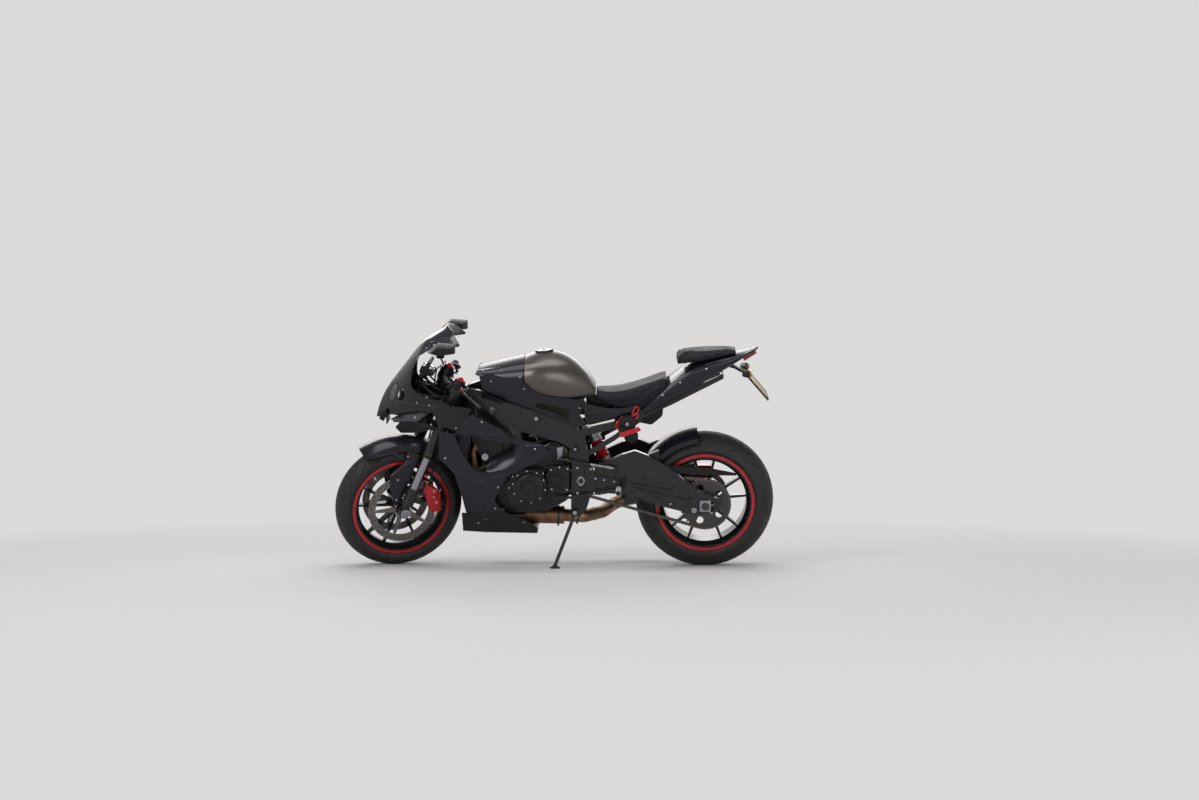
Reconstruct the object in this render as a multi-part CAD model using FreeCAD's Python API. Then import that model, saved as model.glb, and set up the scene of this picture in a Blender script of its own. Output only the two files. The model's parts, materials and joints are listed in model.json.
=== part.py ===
# Fully faired sport bike, leaning on its side stand with the steering at its left stop.
# The machine is drawn upright, x forward, y left, z up, in millimetres, with chassis points
# measured from a datum on the ground; main() then turns the fork, leans the machine on its
# stand and sets the origin under the middle of the whole outline, on the ground.
import FreeCAD, Part
import math
import os

V = FreeCAD.Vector

# Stance
LEAN_DEG = 11.5
STEER_LOCK_DEG = 21.0
STAND_FOOT_OUT = 255.0
STAND_FOOT_AHEAD = 90.0

# Chassis points in side view, and how the axles hang from them
PIVOT_X, PIVOT_Z = -144.0, 440.0
SWINGARM_REACH, SWINGARM_DROP = 572.0, 120.0
HEAD_X, HEAD_Z = 429.0, 860.0
RAKE_DEG = 24.0
FORK_OFFSET, FORK_LENGTH, FORK_HALF_SPREAD = 34.3, 628.3, 105.0

# Wheels: outer radius, section half width, crown radius, half width between flanges
REAR_TYRE_R, REAR_TYRE_HALF_W, REAR_CROWN_R, REAR_RIM_HALF_W = 320.0, 95.0, 100.0, 77.0
FRONT_TYRE_R, FRONT_TYRE_HALF_W, FRONT_CROWN_R, FRONT_RIM_HALF_W = 300.0, 60.0, 64.0, 45.0
BEAD_R = 216.0
FLANGE_R, FLANGE_W = 230.0, 7.0
CROWN_FACETS = 6
BARREL_WALL = 7.0
SPOKE_PAIRS, SPOKE_SPLAY_DEG = 5, 13.5
HUB_R, AXLE_R = 42.0, 12.5
FRONT_HUB_HALF_W, REAR_HUB_HALF_W = 56.0, 78.0

# Brakes and chain
FRONT_DISC_R, FRONT_DISC_BAND, DISC_T, FRONT_DISC_Y = 160.0, 34.0, 5.0, 66.0
REAR_DISC_R, REAR_DISC_Y = 110.0, -100.0
CHAIN_PITCH, CHAIN_Y = 15.875, 110.0
FRONT_TEETH, REAR_TEETH = 16, 45
SPROCKET_T, PLATE_T, PLATE_H, ROLLER_R = 7.0, 4.0, 15.0, 5.0
PIN_EVERY = 8
SPROCKET_X, SPROCKET_Z = -28.0, 447.0

# Fits
RUN_GAP = 0.3
SEAT_GAP = 0.2
MOVE_GAP = 5.0
PANEL_T = 4.0
SCREEN_T = 3.0

RAKE = math.radians(RAKE_DEG)
UP_FORK = V(-math.sin(RAKE), 0, math.cos(RAKE))
FORWARD_FORK = V(math.cos(RAKE), 0, math.sin(RAKE))
LEFT = V(0, 1, 0)
HEAD = V(HEAD_X, 0, HEAD_Z)
FRONT_AXLE = HEAD + FORWARD_FORK * FORK_OFFSET - UP_FORK * FORK_LENGTH
PIVOT = V(PIVOT_X, 0, PIVOT_Z)
REAR_AXLE = PIVOT + V(-SWINGARM_REACH, 0, -SWINGARM_DROP)


# Small makers of shapes
def corner_wire(rows):
    """Closed wire in the x-z plane from rows (x, z, corner radius), with round corners."""
    points = [V(row[0], 0, row[1]) for row in rows]
    count = len(points)
    edges = []
    ends = []
    for i, row in enumerate(rows):
        before = (points[i - 1] - points[i])
        after = (points[(i + 1) % count] - points[i])
        if row[2] > 0:
            before.normalize()
            after.normalize()
            half = before.getAngle(after) / 2
            back = row[2] / math.tan(half)
            middle = (before + after)
            middle.normalize()
            depth = row[2] / math.sin(half) - row[2]
            ends.append((points[i] + before * back, points[i] + middle * depth, points[i] + after * back))
        else:
            ends.append((points[i], None, points[i]))
    for i in range(count):
        start, mid, stop = ends[i]
        if mid is not None:
            edges.append(Part.Arc(start, mid, stop).toShape())
        follow = ends[(i + 1) % count][0]
        if stop.distanceToPoint(follow) > 0.01:
            edges.append(Part.LineSegment(stop, follow).toShape())
    return Part.Wire(edges)


def slab(rows, y_low, y_high):
    """Side-view outline given thickness from y_low to y_high."""
    face = Part.Face(corner_wire(rows))
    face.translate(V(0, y_low, 0))
    return face.extrude(V(0, y_high - y_low, 0))


def block(x0, x1, y0, y1, z0, z1):
    return Part.makeBox(x1 - x0, y1 - y0, z1 - z0, V(x0, y0, z0))


def rod(start, stop, radius, bore=0.0):
    along = stop - start
    solid = Part.makeCylinder(radius, along.Length, start, along)
    if bore > 0:
        solid = solid.cut(Part.makeCylinder(bore, along.Length, start, along))
    return solid


def loop_wire(points):
    return Part.makePolygon(list(points) + [points[0]])


def skin(rows, ruled=False):
    """Solid through closed wires, in order."""
    return Part.makeLoft(rows, True, ruled)


def beam(stations):
    """Rectangular bar through stations (x, y, z, width in y, height in z)."""
    wires = []
    for x, y, z, wide, high in stations:
        wires.append(loop_wire([V(x, y - wide / 2, z - high / 2), V(x, y + wide / 2, z - high / 2),
                                V(x, y + wide / 2, z + high / 2), V(x, y - wide / 2, z + high / 2)]))
    return skin(wires, True)


def bent_tube(points, radius, bend, wall=0.0):
    """Round tube along straight runs joined by arcs of the given bend radius."""
    edges = []
    last = points[0]
    for i in range(1, len(points) - 1):
        before = points[i - 1] - points[i]
        after = points[i + 1] - points[i]
        before.normalize()
        after.normalize()
        half = before.getAngle(after) / 2
        back = bend / math.tan(half)
        middle = before + after
        middle.normalize()
        depth = bend / math.sin(half) - bend
        enter = points[i] + before * back
        leave = points[i] + after * back
        edges.append(Part.LineSegment(last, enter).toShape())
        edges.append(Part.Arc(enter, points[i] + middle * depth, leave).toShape())
        last = leave
    edges.append(Part.LineSegment(last, points[-1]).toShape())
    path = Part.Wire(edges)
    start_way = points[1] - points[0]
    shapes = []
    for r in ([radius, radius - wall] if wall > 0 else [radius]):
        ring = Part.Wire([Part.makeCircle(r, points[0], start_way)])
        shapes.append(path.makePipeShell([ring], True, True))
    if wall > 0:
        return shapes[0].cut(shapes[1])
    return shapes[0]


def revolve_about_y(rows, centre, start_deg=0.0, sweep_deg=360.0):
    """Turn a closed profile of (y, radius) rows about the crosswise line through centre.
    A row may hold a third value, the (y, radius) point that an arc from the row before goes through."""
    edges = []
    points = [V(row[1], row[0], 0) for row in rows]
    for i, row in enumerate(rows):
        here = points[i]
        before = points[i - 1]
        if len(row) > 2:
            mid = V(row[2][1], row[2][0], 0)
            edges.append(Part.Arc(before, mid, here).toShape())
        else:
            edges.append(Part.LineSegment(before, here).toShape())
    edges = edges[1:] + edges[:1]
    face = Part.Face(Part.Wire(edges))
    solid = face.revolve(V(0, 0, 0), V(0, 1, 0), sweep_deg)
    solid.rotate(V(0, 0, 0), V(0, 1, 0), -start_deg)
    if sweep_deg != 360.0:
        solid.rotate(V(0, 0, 0), V(0, 1, 0), -sweep_deg)
    solid.translate(centre)
    return solid


def mirrored(shape):
    return shape.mirror(V(0, 0, 0), LEFT)


def pair(shape):
    """A left-hand shape and its right-hand twin, as solids that share a node."""
    return Part.makeCompound([shape, mirrored(shape)])


def both_sides(shape):
    return shape.fuse(mirrored(shape))


def fused(shapes):
    return shapes[0].multiFuse(shapes[1:]).removeSplitter()


# Wheels
def tyre_outline(outer, half_w, crown, rim_half_w):
    """Outside of a tyre's section, as (y, radius) points from its left flange over the crown to its right."""
    reach = math.asin(half_w / crown)
    rows = [(rim_half_w + FLANGE_W, FLANGE_R + SEAT_GAP)]
    for k in range(CROWN_FACETS + 1):
        turn = reach * (1 - 2 * k / CROWN_FACETS)
        rows.append((crown * math.sin(turn), outer - crown + crown * math.cos(turn)))
    rows.append((-rim_half_w - FLANGE_W, FLANGE_R + SEAT_GAP))
    return rows


def tyre(centre, outer, half_w, crown, rim_half_w):
    rows = [(rim_half_w - SEAT_GAP, BEAD_R + SEAT_GAP), (rim_half_w - SEAT_GAP, FLANGE_R + SEAT_GAP)]
    rows += tyre_outline(outer, half_w, crown, rim_half_w)
    rows += [(-rim_half_w + SEAT_GAP, FLANGE_R + SEAT_GAP), (-rim_half_w + SEAT_GAP, BEAD_R + SEAT_GAP)]
    return revolve_about_y(rows, centre)


def rim(centre, rim_half_w, hub_half_w, spoke_t):
    edge = rim_half_w + FLANGE_W
    bed = rim_half_w - 17
    rows = [
        (edge, FLANGE_R), (rim_half_w, FLANGE_R), (rim_half_w, BEAD_R), (bed, BEAD_R),
        (bed - 14, BEAD_R - 16), (-bed + 14, BEAD_R - 16), (-bed, BEAD_R),
        (-rim_half_w, BEAD_R), (-rim_half_w, FLANGE_R), (-edge, FLANGE_R),
        (-edge, BEAD_R - BARREL_WALL), (-bed, BEAD_R - BARREL_WALL),
        (-bed + 14, BEAD_R - 16 - BARREL_WALL), (bed - 14, BEAD_R - 16 - BARREL_WALL),
        (bed, BEAD_R - BARREL_WALL), (edge, BEAD_R - BARREL_WALL),
    ]
    barrel = revolve_about_y(rows, centre)
    hub = rod(centre - LEFT * hub_half_w, centre + LEFT * hub_half_w, HUB_R)
    shapes = [barrel, hub]
    root_r, tip_r = HUB_R - 6, BEAD_R - 16 - BARREL_WALL / 2
    for k in range(SPOKE_PAIRS):
        for side in (-1, 1):
            wires = []
            for radius, wide, thick, splay in ((root_r, 17, spoke_t + 12, 0.62), (tip_r, 10, spoke_t, 1.0)):
                angle = math.radians(90 + 360.0 / SPOKE_PAIRS * k + side * SPOKE_SPLAY_DEG * splay)
                out = V(math.cos(angle), 0, math.sin(angle))
                across = V(-math.sin(angle), 0, math.cos(angle))
                mid = centre + out * radius
                wires.append(loop_wire([mid + across * wide / 2 + LEFT * thick / 2,
                                        mid - across * wide / 2 + LEFT * thick / 2,
                                        mid - across * wide / 2 - LEFT * thick / 2,
                                        mid + across * wide / 2 - LEFT * thick / 2]))
            shapes.append(skin(wires, True))
    whole = fused(shapes)
    return whole.cut(rod(centre - LEFT * 200, centre + LEFT * 200, AXLE_R + RUN_GAP))


def brake_disc(centre, y, outer, band, hub_y, arms):
    """Disc band on a carrier whose arms run in to a flange against the hub's end."""
    ring = rod(centre + LEFT * (y - DISC_T / 2), centre + LEFT * (y + DISC_T / 2), outer, outer - band)
    side = 1 if y > 0 else -1
    flange = rod(centre + LEFT * hub_y, centre + LEFT * (y + side * DISC_T / 2), HUB_R - 2, HUB_R - 14)
    shapes = [ring, flange]
    for k in range(arms):
        angle = 2 * math.pi * k / arms
        out = V(math.cos(angle), 0, math.sin(angle))
        across = V(-math.sin(angle), 0, math.cos(angle))
        wires = []
        for radius, wide in ((HUB_R - 8, 26), (outer - band + 4, 12)):
            mid = centre + out * radius + LEFT * y
            wires.append(loop_wire([mid + across * wide / 2 + LEFT * DISC_T / 2,
                                    mid - across * wide / 2 + LEFT * DISC_T / 2,
                                    mid - across * wide / 2 - LEFT * DISC_T / 2,
                                    mid + across * wide / 2 - LEFT * DISC_T / 2]))
        shapes.append(skin(wires, True))
    return fused(shapes)


def sprocket_radius(teeth):
    return CHAIN_PITCH / (2 * math.sin(math.pi / teeth))


def rear_sprocket():
    """Toothed wheel on its carrier, bolted against the hub's left end."""
    pitch_r = sprocket_radius(REAR_TEETH)
    low, high = CHAIN_Y - SPROCKET_T / 2, CHAIN_Y + SPROCKET_T / 2
    points = []
    for k in range(REAR_TEETH):
        for share, radius in ((0.0, pitch_r - 4.5), (0.35, pitch_r + 4.0), (0.65, pitch_r + 4.0)):
            angle = 2 * math.pi * (k + share) / REAR_TEETH
            points.append(V(radius * math.cos(angle), 0, radius * math.sin(angle)))
    face = Part.Face(loop_wire(points))
    plate = face.extrude(V(0, high - low, 0))
    plate.translate(REAR_AXLE + LEFT * low)
    for k in range(5):
        angle = 2 * math.pi * k / 5
        middle = REAR_AXLE + V(math.cos(angle), 0, math.sin(angle)) * (pitch_r - 34)
        plate = plate.cut(rod(middle + LEFT * (low - 1), middle + LEFT * (high + 1), 17))
    carrier = rod(REAR_AXLE + LEFT * REAR_HUB_HALF_W, REAR_AXLE + LEFT * high, 58)
    bore = rod(REAR_AXLE + LEFT * (REAR_HUB_HALF_W - 1), REAR_AXLE + LEFT * (high + 1), 26)
    return plate.fuse(carrier).cut(bore).removeSplitter()


# Chain: one fixed loop round both sprockets
def chain():
    big = REAR_AXLE
    small = V(SPROCKET_X, 0, SPROCKET_Z)
    big_r, small_r = sprocket_radius(REAR_TEETH), sprocket_radius(FRONT_TEETH)
    reach = small - big
    base = math.atan2(reach.z, reach.x)
    swing = math.acos((big_r - small_r) / reach.Length)

    def belt(grow):
        edges = []
        top = V(math.cos(base + swing), 0, math.sin(base + swing))
        low = V(math.cos(base - swing), 0, math.sin(base - swing))
        back = V(-math.cos(base), 0, -math.sin(base))
        ahead = V(math.cos(base), 0, math.sin(base))
        edges.append(Part.LineSegment(big + top * (big_r + grow), small + top * (small_r + grow)).toShape())
        edges.append(Part.Arc(small + top * (small_r + grow), small + ahead * (small_r + grow),
                              small + low * (small_r + grow)).toShape())
        edges.append(Part.LineSegment(small + low * (small_r + grow), big + low * (big_r + grow)).toShape())
        edges.append(Part.Arc(big + low * (big_r + grow), big + back * (big_r + grow),
                              big + top * (big_r + grow)).toShape())
        return Part.Face(Part.Wire(edges))

    band = belt(PLATE_H / 2).cut(belt(-PLATE_H / 2))
    inner_y = SPROCKET_T / 2 + 1.0
    shapes = []
    for low in (CHAIN_Y + inner_y, CHAIN_Y - inner_y - PLATE_T):
        row = band.extrude(V(0, PLATE_T, 0))
        row.translate(V(0, low, 0))
        shapes.append(row)
    clear_of_big = big_r + MOVE_GAP * 2 + ROLLER_R
    for angle in (base + swing, base - swing):
        out = V(math.cos(angle), 0, math.sin(angle))
        start = big + out * big_r
        stop = small + out * small_r
        run = stop - start
        count = int(run.Length / (PIN_EVERY * CHAIN_PITCH))
        step = run * (PIN_EVERY * CHAIN_PITCH / run.Length)
        for k in range(count):
            at = start + step * (k + 0.5)
            if at.distanceToPoint(big) > clear_of_big and at.distanceToPoint(small) > small_r + 14:
                shapes.append(rod(at + LEFT * (CHAIN_Y - inner_y - 1), at + LEFT * (CHAIN_Y + inner_y + 1),
                                  ROLLER_R))
    return fused(shapes)


# Fork: everything here steers. Distances up the leg are measured from the front axle.
TUBE_R, SLIDER_R, TUBE_WALL = 27.0, 21.5, 4.0
FOOT_UP, TUBE_LOW, TUBE_TOP = 112.0, 290.0, 50.0
YOKE_T, LOW_YOKE_DROP = 26.0, 200.0
STEM_R, HEAD_TUBE_R, HEAD_TUBE_WALL = 16.0, 36.0, 8.0
LEG_TOP = FRONT_AXLE + UP_FORK * (FORK_LENGTH + TUBE_TOP)


def leg(up, y=None):
    """Point on the left fork leg's line, this far up from the axle."""
    return FRONT_AXLE + UP_FORK * up + LEFT * (FORK_HALF_SPREAD if y is None else y)


def fork_tube():
    tube = rod(leg(TUBE_LOW), leg(FORK_LENGTH + TUBE_TOP), TUBE_R)
    return tube.cut(rod(leg(TUBE_LOW - 1), leg(TUBE_LOW + 150), SLIDER_R + SEAT_GAP))


def fork_slider():
    return rod(leg(FOOT_UP), leg(TUBE_LOW + 148), SLIDER_R)


def fork_foot():
    """Cast foot: socket for the slider, axle clamp and a lug for the caliper."""
    socket = rod(leg(34), leg(FOOT_UP + 10), SLIDER_R + 6)
    socket = socket.cut(rod(leg(FOOT_UP), leg(FOOT_UP + 12), SLIDER_R))
    clamp_low, clamp_high = FRONT_HUB_HALF_W + 26, FORK_HALF_SPREAD + 22
    clamp = rod(FRONT_AXLE + LEFT * clamp_low, FRONT_AXLE + LEFT * clamp_high, AXLE_R + 12)
    web = rod(leg(0), leg(40), SLIDER_R - 2)
    foot = fused([socket, clamp, web, caliper_lug(9)])
    foot = foot.cut(rod(leg(FOOT_UP), leg(FOOT_UP + 90), SLIDER_R))
    return foot.cut(rod(FRONT_AXLE, FRONT_AXLE + LEFT * 200, AXLE_R))


def caliper_lug(radius):
    """Two lugs that run back from the foot to the caliper."""
    lugs = []
    for up, back in ((62, 84), (104, 70)):
        root = leg(up, FORK_HALF_SPREAD - 16)
        lugs.append(rod(root - FORWARD_FORK * 6, root - FORWARD_FORK * back, radius))
    return lugs[0].fuse(lugs[1])


def brake_hoses():
    """A hose up the back of each fork leg, from its caliper to the bottom yoke."""
    end = FORK_LENGTH - LOW_YOKE_DROP - YOKE_T / 2
    points = [leg(116, HOSE_Y) - FORWARD_FORK * 74, leg(200, HOSE_Y) - FORWARD_FORK * 60,
              leg(300, HOSE_Y) - FORWARD_FORK * 44, leg(end + 4, HOSE_Y) - FORWARD_FORK * 28]
    hose = bent_tube(points, HOSE_R, 40).cut(front_caliper()).cut(yoke(FORK_LENGTH - LOW_YOKE_DROP, (1.1, 1.1)))
    hose = max(hose.cut(fork_foot()).Solids, key=lambda solid: solid.Volume)
    return pair(hose)


HOSE_R, HOSE_Y = 4.0, 88.0


def front_axle():
    end = FORK_HALF_SPREAD + 26
    axle = rod(FRONT_AXLE - LEFT * end, FRONT_AXLE + LEFT * end, AXLE_R, 8.5)
    shapes = [axle]
    for side in (-1, 1):
        inner = FRONT_AXLE + LEFT * side * (FRONT_HUB_HALF_W + DISC_T + 12 + 1.0)
        outer = FRONT_AXLE + LEFT * side * (FRONT_HUB_HALF_W + 26 - SEAT_GAP)
        shapes.append(rod(inner, outer, AXLE_R + 7))
        nut = FRONT_AXLE + LEFT * side * (FORK_HALF_SPREAD + 22 + SEAT_GAP)
        shapes.append(rod(nut, nut + LEFT * side * 7, 21))
    whole = fused(shapes)
    return whole.cut(rod(FRONT_AXLE - LEFT * 200, FRONT_AXLE + LEFT * 200, 8.5))


def yoke(up, stem_ends):
    """Clamp plate across both legs, with a boss for the stem behind them."""
    stem = HEAD + UP_FORK * (up - FORK_LENGTH)
    low = UP_FORK * (-YOKE_T / 2)
    height = UP_FORK * YOKE_T
    shapes = []
    for side in (-1, 1):
        centre = FRONT_AXLE + UP_FORK * up + LEFT * side * FORK_HALF_SPREAD
        shapes.append(rod(centre + low, centre + low + height, TUBE_R + 10))
    shapes.append(rod(stem + low, stem + low + height, STEM_R + 14))
    ahead = FORWARD_FORK * FORK_OFFSET
    half = FORK_HALF_SPREAD
    wire = loop_wire([stem + low + ahead + FORWARD_FORK * 26 + LEFT * half,
                      stem + low + ahead + FORWARD_FORK * 10,
                      stem + low + ahead + FORWARD_FORK * 26 - LEFT * half,
                      stem + low + ahead - FORWARD_FORK * 24 - LEFT * half,
                      stem + low - FORWARD_FORK * 22 - LEFT * 18,
                      stem + low - FORWARD_FORK * 22 + LEFT * 18,
                      stem + low + ahead - FORWARD_FORK * 24 + LEFT * half])
    shapes.append(Part.Face(wire).extrude(height))
    whole = fused(shapes)
    for side in (-1, 1):
        centre = FRONT_AXLE + UP_FORK * up + LEFT * side * FORK_HALF_SPREAD
        whole = whole.cut(rod(centre + low * 2, centre + low * 2 + height * 2, TUBE_R + SEAT_GAP / 2))
    return whole.cut(rod(stem + low * stem_ends[0], stem + low + height * stem_ends[1], STEM_R))


def stem():
    """Steering stem with a bearing collar at each end of the head tube."""
    low = HEAD - UP_FORK * (LOW_YOKE_DROP + YOKE_T / 2)
    shapes = [rod(low, HEAD + UP_FORK * (YOKE_T / 2 + 6), STEM_R)]
    collar_r = HEAD_TUBE_R - HEAD_TUBE_WALL - RUN_GAP
    for drop in (LOW_YOKE_DROP - YOKE_T / 2, YOKE_T / 2 + 16):
        at = HEAD - UP_FORK * drop
        shapes.append(rod(at, at + UP_FORK * 16, collar_r))
    whole = fused(shapes)
    return whole.cut(rod(low - UP_FORK, low + UP_FORK * 60, 8.5))


def clip_on():
    """Left bar with its clamp round the fork tube, grip, switch box, lever and pivot block."""
    clamp_at = leg(FORK_LENGTH + YOKE_T / 2 + 3)
    clamp = rod(clamp_at, clamp_at + UP_FORK * 26, TUBE_R + 9)
    start = leg(FORK_LENGTH + 29) - FORWARD_FORK * 20
    stop = start + V(-76, BAR_REACH, -44)
    way = stop - start
    way.normalize()
    bar = rod(start, stop, 11)
    grip = rod(stop - way * 128, stop - way * 8, 16.5)
    end_cap = rod(stop - way * 8, stop + way * 14, 15)
    shapes = [clamp, bar, grip, end_cap]
    switch_at = stop - way * 168
    shapes.append(rod(switch_at, switch_at + way * 34, 24))
    perch = switch_at - way * 26
    shapes.append(rod(perch, perch + way * 20, 17))
    pivot = perch + way * 6 + FORWARD_FORK * 44 - UP_FORK * 4
    shapes.append(rod(perch + way * 10, pivot, 9))
    tip = stop - way * 10 + FORWARD_FORK * 52 - UP_FORK * 8
    knee = pivot + way * 40 + FORWARD_FORK * 16
    shapes.append(rod(pivot - UP_FORK * 9, pivot + UP_FORK * 9, 10))
    shapes.append(rod(pivot, knee, 6))
    shapes.append(rod(knee, tip, 6))
    shapes.append(Part.makeSphere(8, tip))
    shapes.append(Part.makeSphere(6, knee))
    whole = fused(shapes)
    return whole.cut(rod(clamp_at - UP_FORK * 20, clamp_at + UP_FORK * 60, TUBE_R + SEAT_GAP / 2))


BAR_REACH = 232.0


def reservoir():
    """Fluid pot on a stay above the bar's clamp."""
    foot = leg(FORK_LENGTH + YOKE_T / 2 + 3 + 20) + FORWARD_FORK * 12 + LEFT * 34
    top = foot + V(14, 16, 42)
    stay = rod(foot, top, 4)
    pot = rod(top - V(0, 0, 4), top + V(0, 0, 30), 19)
    base = rod(foot - UP_FORK * 20, foot + UP_FORK * 3, 8)
    clear = rod(leg(FORK_LENGTH), leg(FORK_LENGTH + 200), TUBE_R + 9 + SEAT_GAP)
    return fused([stay, pot, base]).cut(clear).cut(clip_on())


# Mudguard, wrapped round the front tyre
GUARD_CROWN_R, GUARD_EDGE_R, GUARD_HALF_W = 338.0, 286.0, 74.0
GUARD_FRONT_DEG, GUARD_SWEEP_DEG, GUARD_T = 58.0, 72.0, 3.0


def front_mudguard():
    half, t = GUARD_HALF_W, GUARD_T
    bend_r = (GUARD_CROWN_R + GUARD_EDGE_R) / 2 + 6
    rows = [
        (half, GUARD_EDGE_R), (half, bend_r),
        (-half, bend_r, (0, GUARD_CROWN_R)),
        (-half, GUARD_EDGE_R), (-half + t, GUARD_EDGE_R), (-half + t, bend_r - t),
        (half - t, bend_r - t, (0, GUARD_CROWN_R - t)), (half - t, GUARD_EDGE_R),
    ]
    hood = revolve_about_y(rows, FRONT_AXLE, GUARD_FRONT_DEG, GUARD_SWEEP_DEG)
    nose = slab([(GUARD_EDGE_R * 0.2 + FRONT_AXLE.x, FRONT_AXLE.z + GUARD_EDGE_R * 0.96, 0),
                 (FRONT_AXLE.x + 190, FRONT_AXLE.z + 190, 0),
                 (FRONT_AXLE.x + 240, FRONT_AXLE.z + 260, 0)], -half - 5, half + 5)
    hood = hood.cut(nose)
    flap_rows = [(-21, 241, 0), (56, 182, 12), (53, 120, 0), (38, 24, 6), (12, 31, 0), (-71, 227, 0),
                 (-88, 262, 0), (-30, 300, 0)]
    outline = [(FRONT_AXLE.x + dx, FRONT_AXLE.z + dz, r) for dx, dz, r in flap_rows]
    flap = slab(outline, half, half + t)
    tab = slab([(FRONT_AXLE.x + dx, FRONT_AXLE.z + dz, r)
                for dx, dz, r in ((-38, 178, 0), (-88, 170, 8), (-82, 134, 8), (-22, 134, 0))], half, half + t)
    stay = rod(leg(165), leg(165, half + t / 2), 8).cut(rod(leg(0), leg(FORK_LENGTH), SLIDER_R + SEAT_GAP))
    side = fused([flap, tab, stay])
    return fused([hood, side, mirrored(side)])


def front_caliper():
    """Radial caliper: body astride the disc, held on the foot's lug."""
    low, high = FRONT_DISC_Y - 24, FRONT_DISC_Y + 26
    rows = [(-112, 126, 8), (-176, 72, 8), (-180, -18, 8), (-132, -24, 8), (-118, 30, 0), (-96, 80, 0)]
    outline = [(FRONT_AXLE.x + dx, FRONT_AXLE.z + dz, r) for dx, dz, r in rows]
    body = slab(outline, low, high)
    slot_low, slot_high = FRONT_DISC_Y - DISC_T / 2 - MOVE_GAP, FRONT_DISC_Y + DISC_T / 2 + MOVE_GAP
    slot = rod(FRONT_AXLE + LEFT * slot_low, FRONT_AXLE + LEFT * slot_high, FRONT_DISC_R + MOVE_GAP)
    body = body.cut(slot)
    inner_room = rod(FRONT_AXLE, FRONT_AXLE + LEFT * 200, FRONT_DISC_R - FRONT_DISC_BAND - 6)
    body = body.cut(inner_room)
    return body.cut(caliper_lug(9 + SEAT_GAP))


# Frame: two wide beams from the head tube round the engine to the pivot plates
BEAM_Y, BEAM_T = 168.0, 30.0
PLATE_Y, PLATE_THICK = 124.0, 22.0
PIVOT_AXLE_R, PIVOT_TUBE_R = 11.0, 22.0
HEAD_TUBE_TOP, HEAD_TUBE_LOW = 18.0, 182.0


def head_tube():
    return rod(HEAD - UP_FORK * HEAD_TUBE_LOW, HEAD - UP_FORK * HEAD_TUBE_TOP, HEAD_TUBE_R)


def frame_beam():
    """Left beam and pivot plate."""
    stations = [
        (HEAD_X + 12, 26, HEAD_Z - 92, 36, 96),
        (HEAD_X - 48, 62, HEAD_Z - 70, 40, 128),
        (HEAD_X - 110, 132, HEAD_Z - 62, 36, 132),
        (HEAD_X - 200, BEAM_Y, HEAD_Z - 92, BEAM_T, 122),
        (80, BEAM_Y - 4, 722, BEAM_T, 112),
        (-40, BEAM_Y - 20, 678, BEAM_T, 100),
        (-118, PLATE_Y + 12, 640, PLATE_THICK + 6, 110),
    ]
    arch = beam(stations)
    rows = [
        (-86, 690, 20), (-122, 700, 24), (-164, 654, 20), (-184, 530, 30), (-192, 372, 16), (-98, 372, 14),
        (-104, 520, 40), (-92, 590, 20),
    ]
    plate = slab(rows, PLATE_Y, PLATE_Y + PLATE_THICK)
    return arch.fuse(plate)


def frame():
    shapes = [head_tube(), frame_beam(), mirrored(frame_beam())]
    for z, half in ((640, 15), (392, 13)):
        cross_x = -150 if z > 500 else -168
        shapes.append(rod(V(cross_x, -PLATE_Y - 2, z), V(cross_x, PLATE_Y + 2, z), half))
    whole = fused(shapes)
    bore = rod(HEAD - UP_FORK * (HEAD_TUBE_LOW + 60), HEAD + UP_FORK * 60, HEAD_TUBE_R - HEAD_TUBE_WALL)
    pivot = rod(PIVOT - LEFT * 200, PIVOT + LEFT * 200, PIVOT_AXLE_R + SEAT_GAP)
    return whole.cut(bore).cut(pivot)


def pivot_axle():
    """Swingarm pivot shaft with its eye-shaped end plates."""
    reach = PLATE_Y + PLATE_THICK
    shapes = [rod(PIVOT - LEFT * reach, PIVOT + LEFT * reach, PIVOT_AXLE_R)]
    rows = [(PIVOT_X, PIVOT_Z + 33, 12), (PIVOT_X - 20, PIVOT_Z, 8), (PIVOT_X, PIVOT_Z - 33, 12),
            (PIVOT_X + 20, PIVOT_Z, 8)]
    plate = slab(rows, reach, reach + 6)
    return fused([shapes[0], plate, mirrored(plate)])


def subframe():
    """Seat rails with struts, from the back of the frame up under the tail."""
    rails = []
    for y in (SUBFRAME_Y, -SUBFRAME_Y):
        side = 1 if y > 0 else -1
        rails.append(beam([(-148, side * 132, 664, 18, 34), (-330, y, 702, 18, 34), (-560, y * 0.86, 800, 16, 28),
                           (-800, y * 0.55, 912, 14, 22)]))
        rails.append(beam([(-168, side * 132, 560, 16, 26), (-300, y, 636, 16, 26), (-430, y * 0.95, 730, 16, 26)]))
        rib_rows = [(-296, 782 - SEAT_GAP, 0), (-430, 768 - SEAT_GAP, 0), (-452, 750, 0), (-410, 722, 0),
                    (-300, 694, 0)]
        rails.append(slab(rib_rows, min(side * 98, side * 108), max(side * 98, side * 108)))
    rails.append(rod(V(-330, -SUBFRAME_Y, 702), V(-330, SUBFRAME_Y, 702), 9))
    rails.append(rod(V(-560, -SUBFRAME_Y * 0.86, 800), V(-560, SUBFRAME_Y * 0.86, 800), 8))
    rails.append(rod(V(-790, -SUBFRAME_Y * 0.56, 907), V(-790, SUBFRAME_Y * 0.56, 907), 7))
    whole = fused(rails)
    return whole.cut(frame()).cut(rider_seat())


SUBFRAME_Y = 112.0

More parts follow.
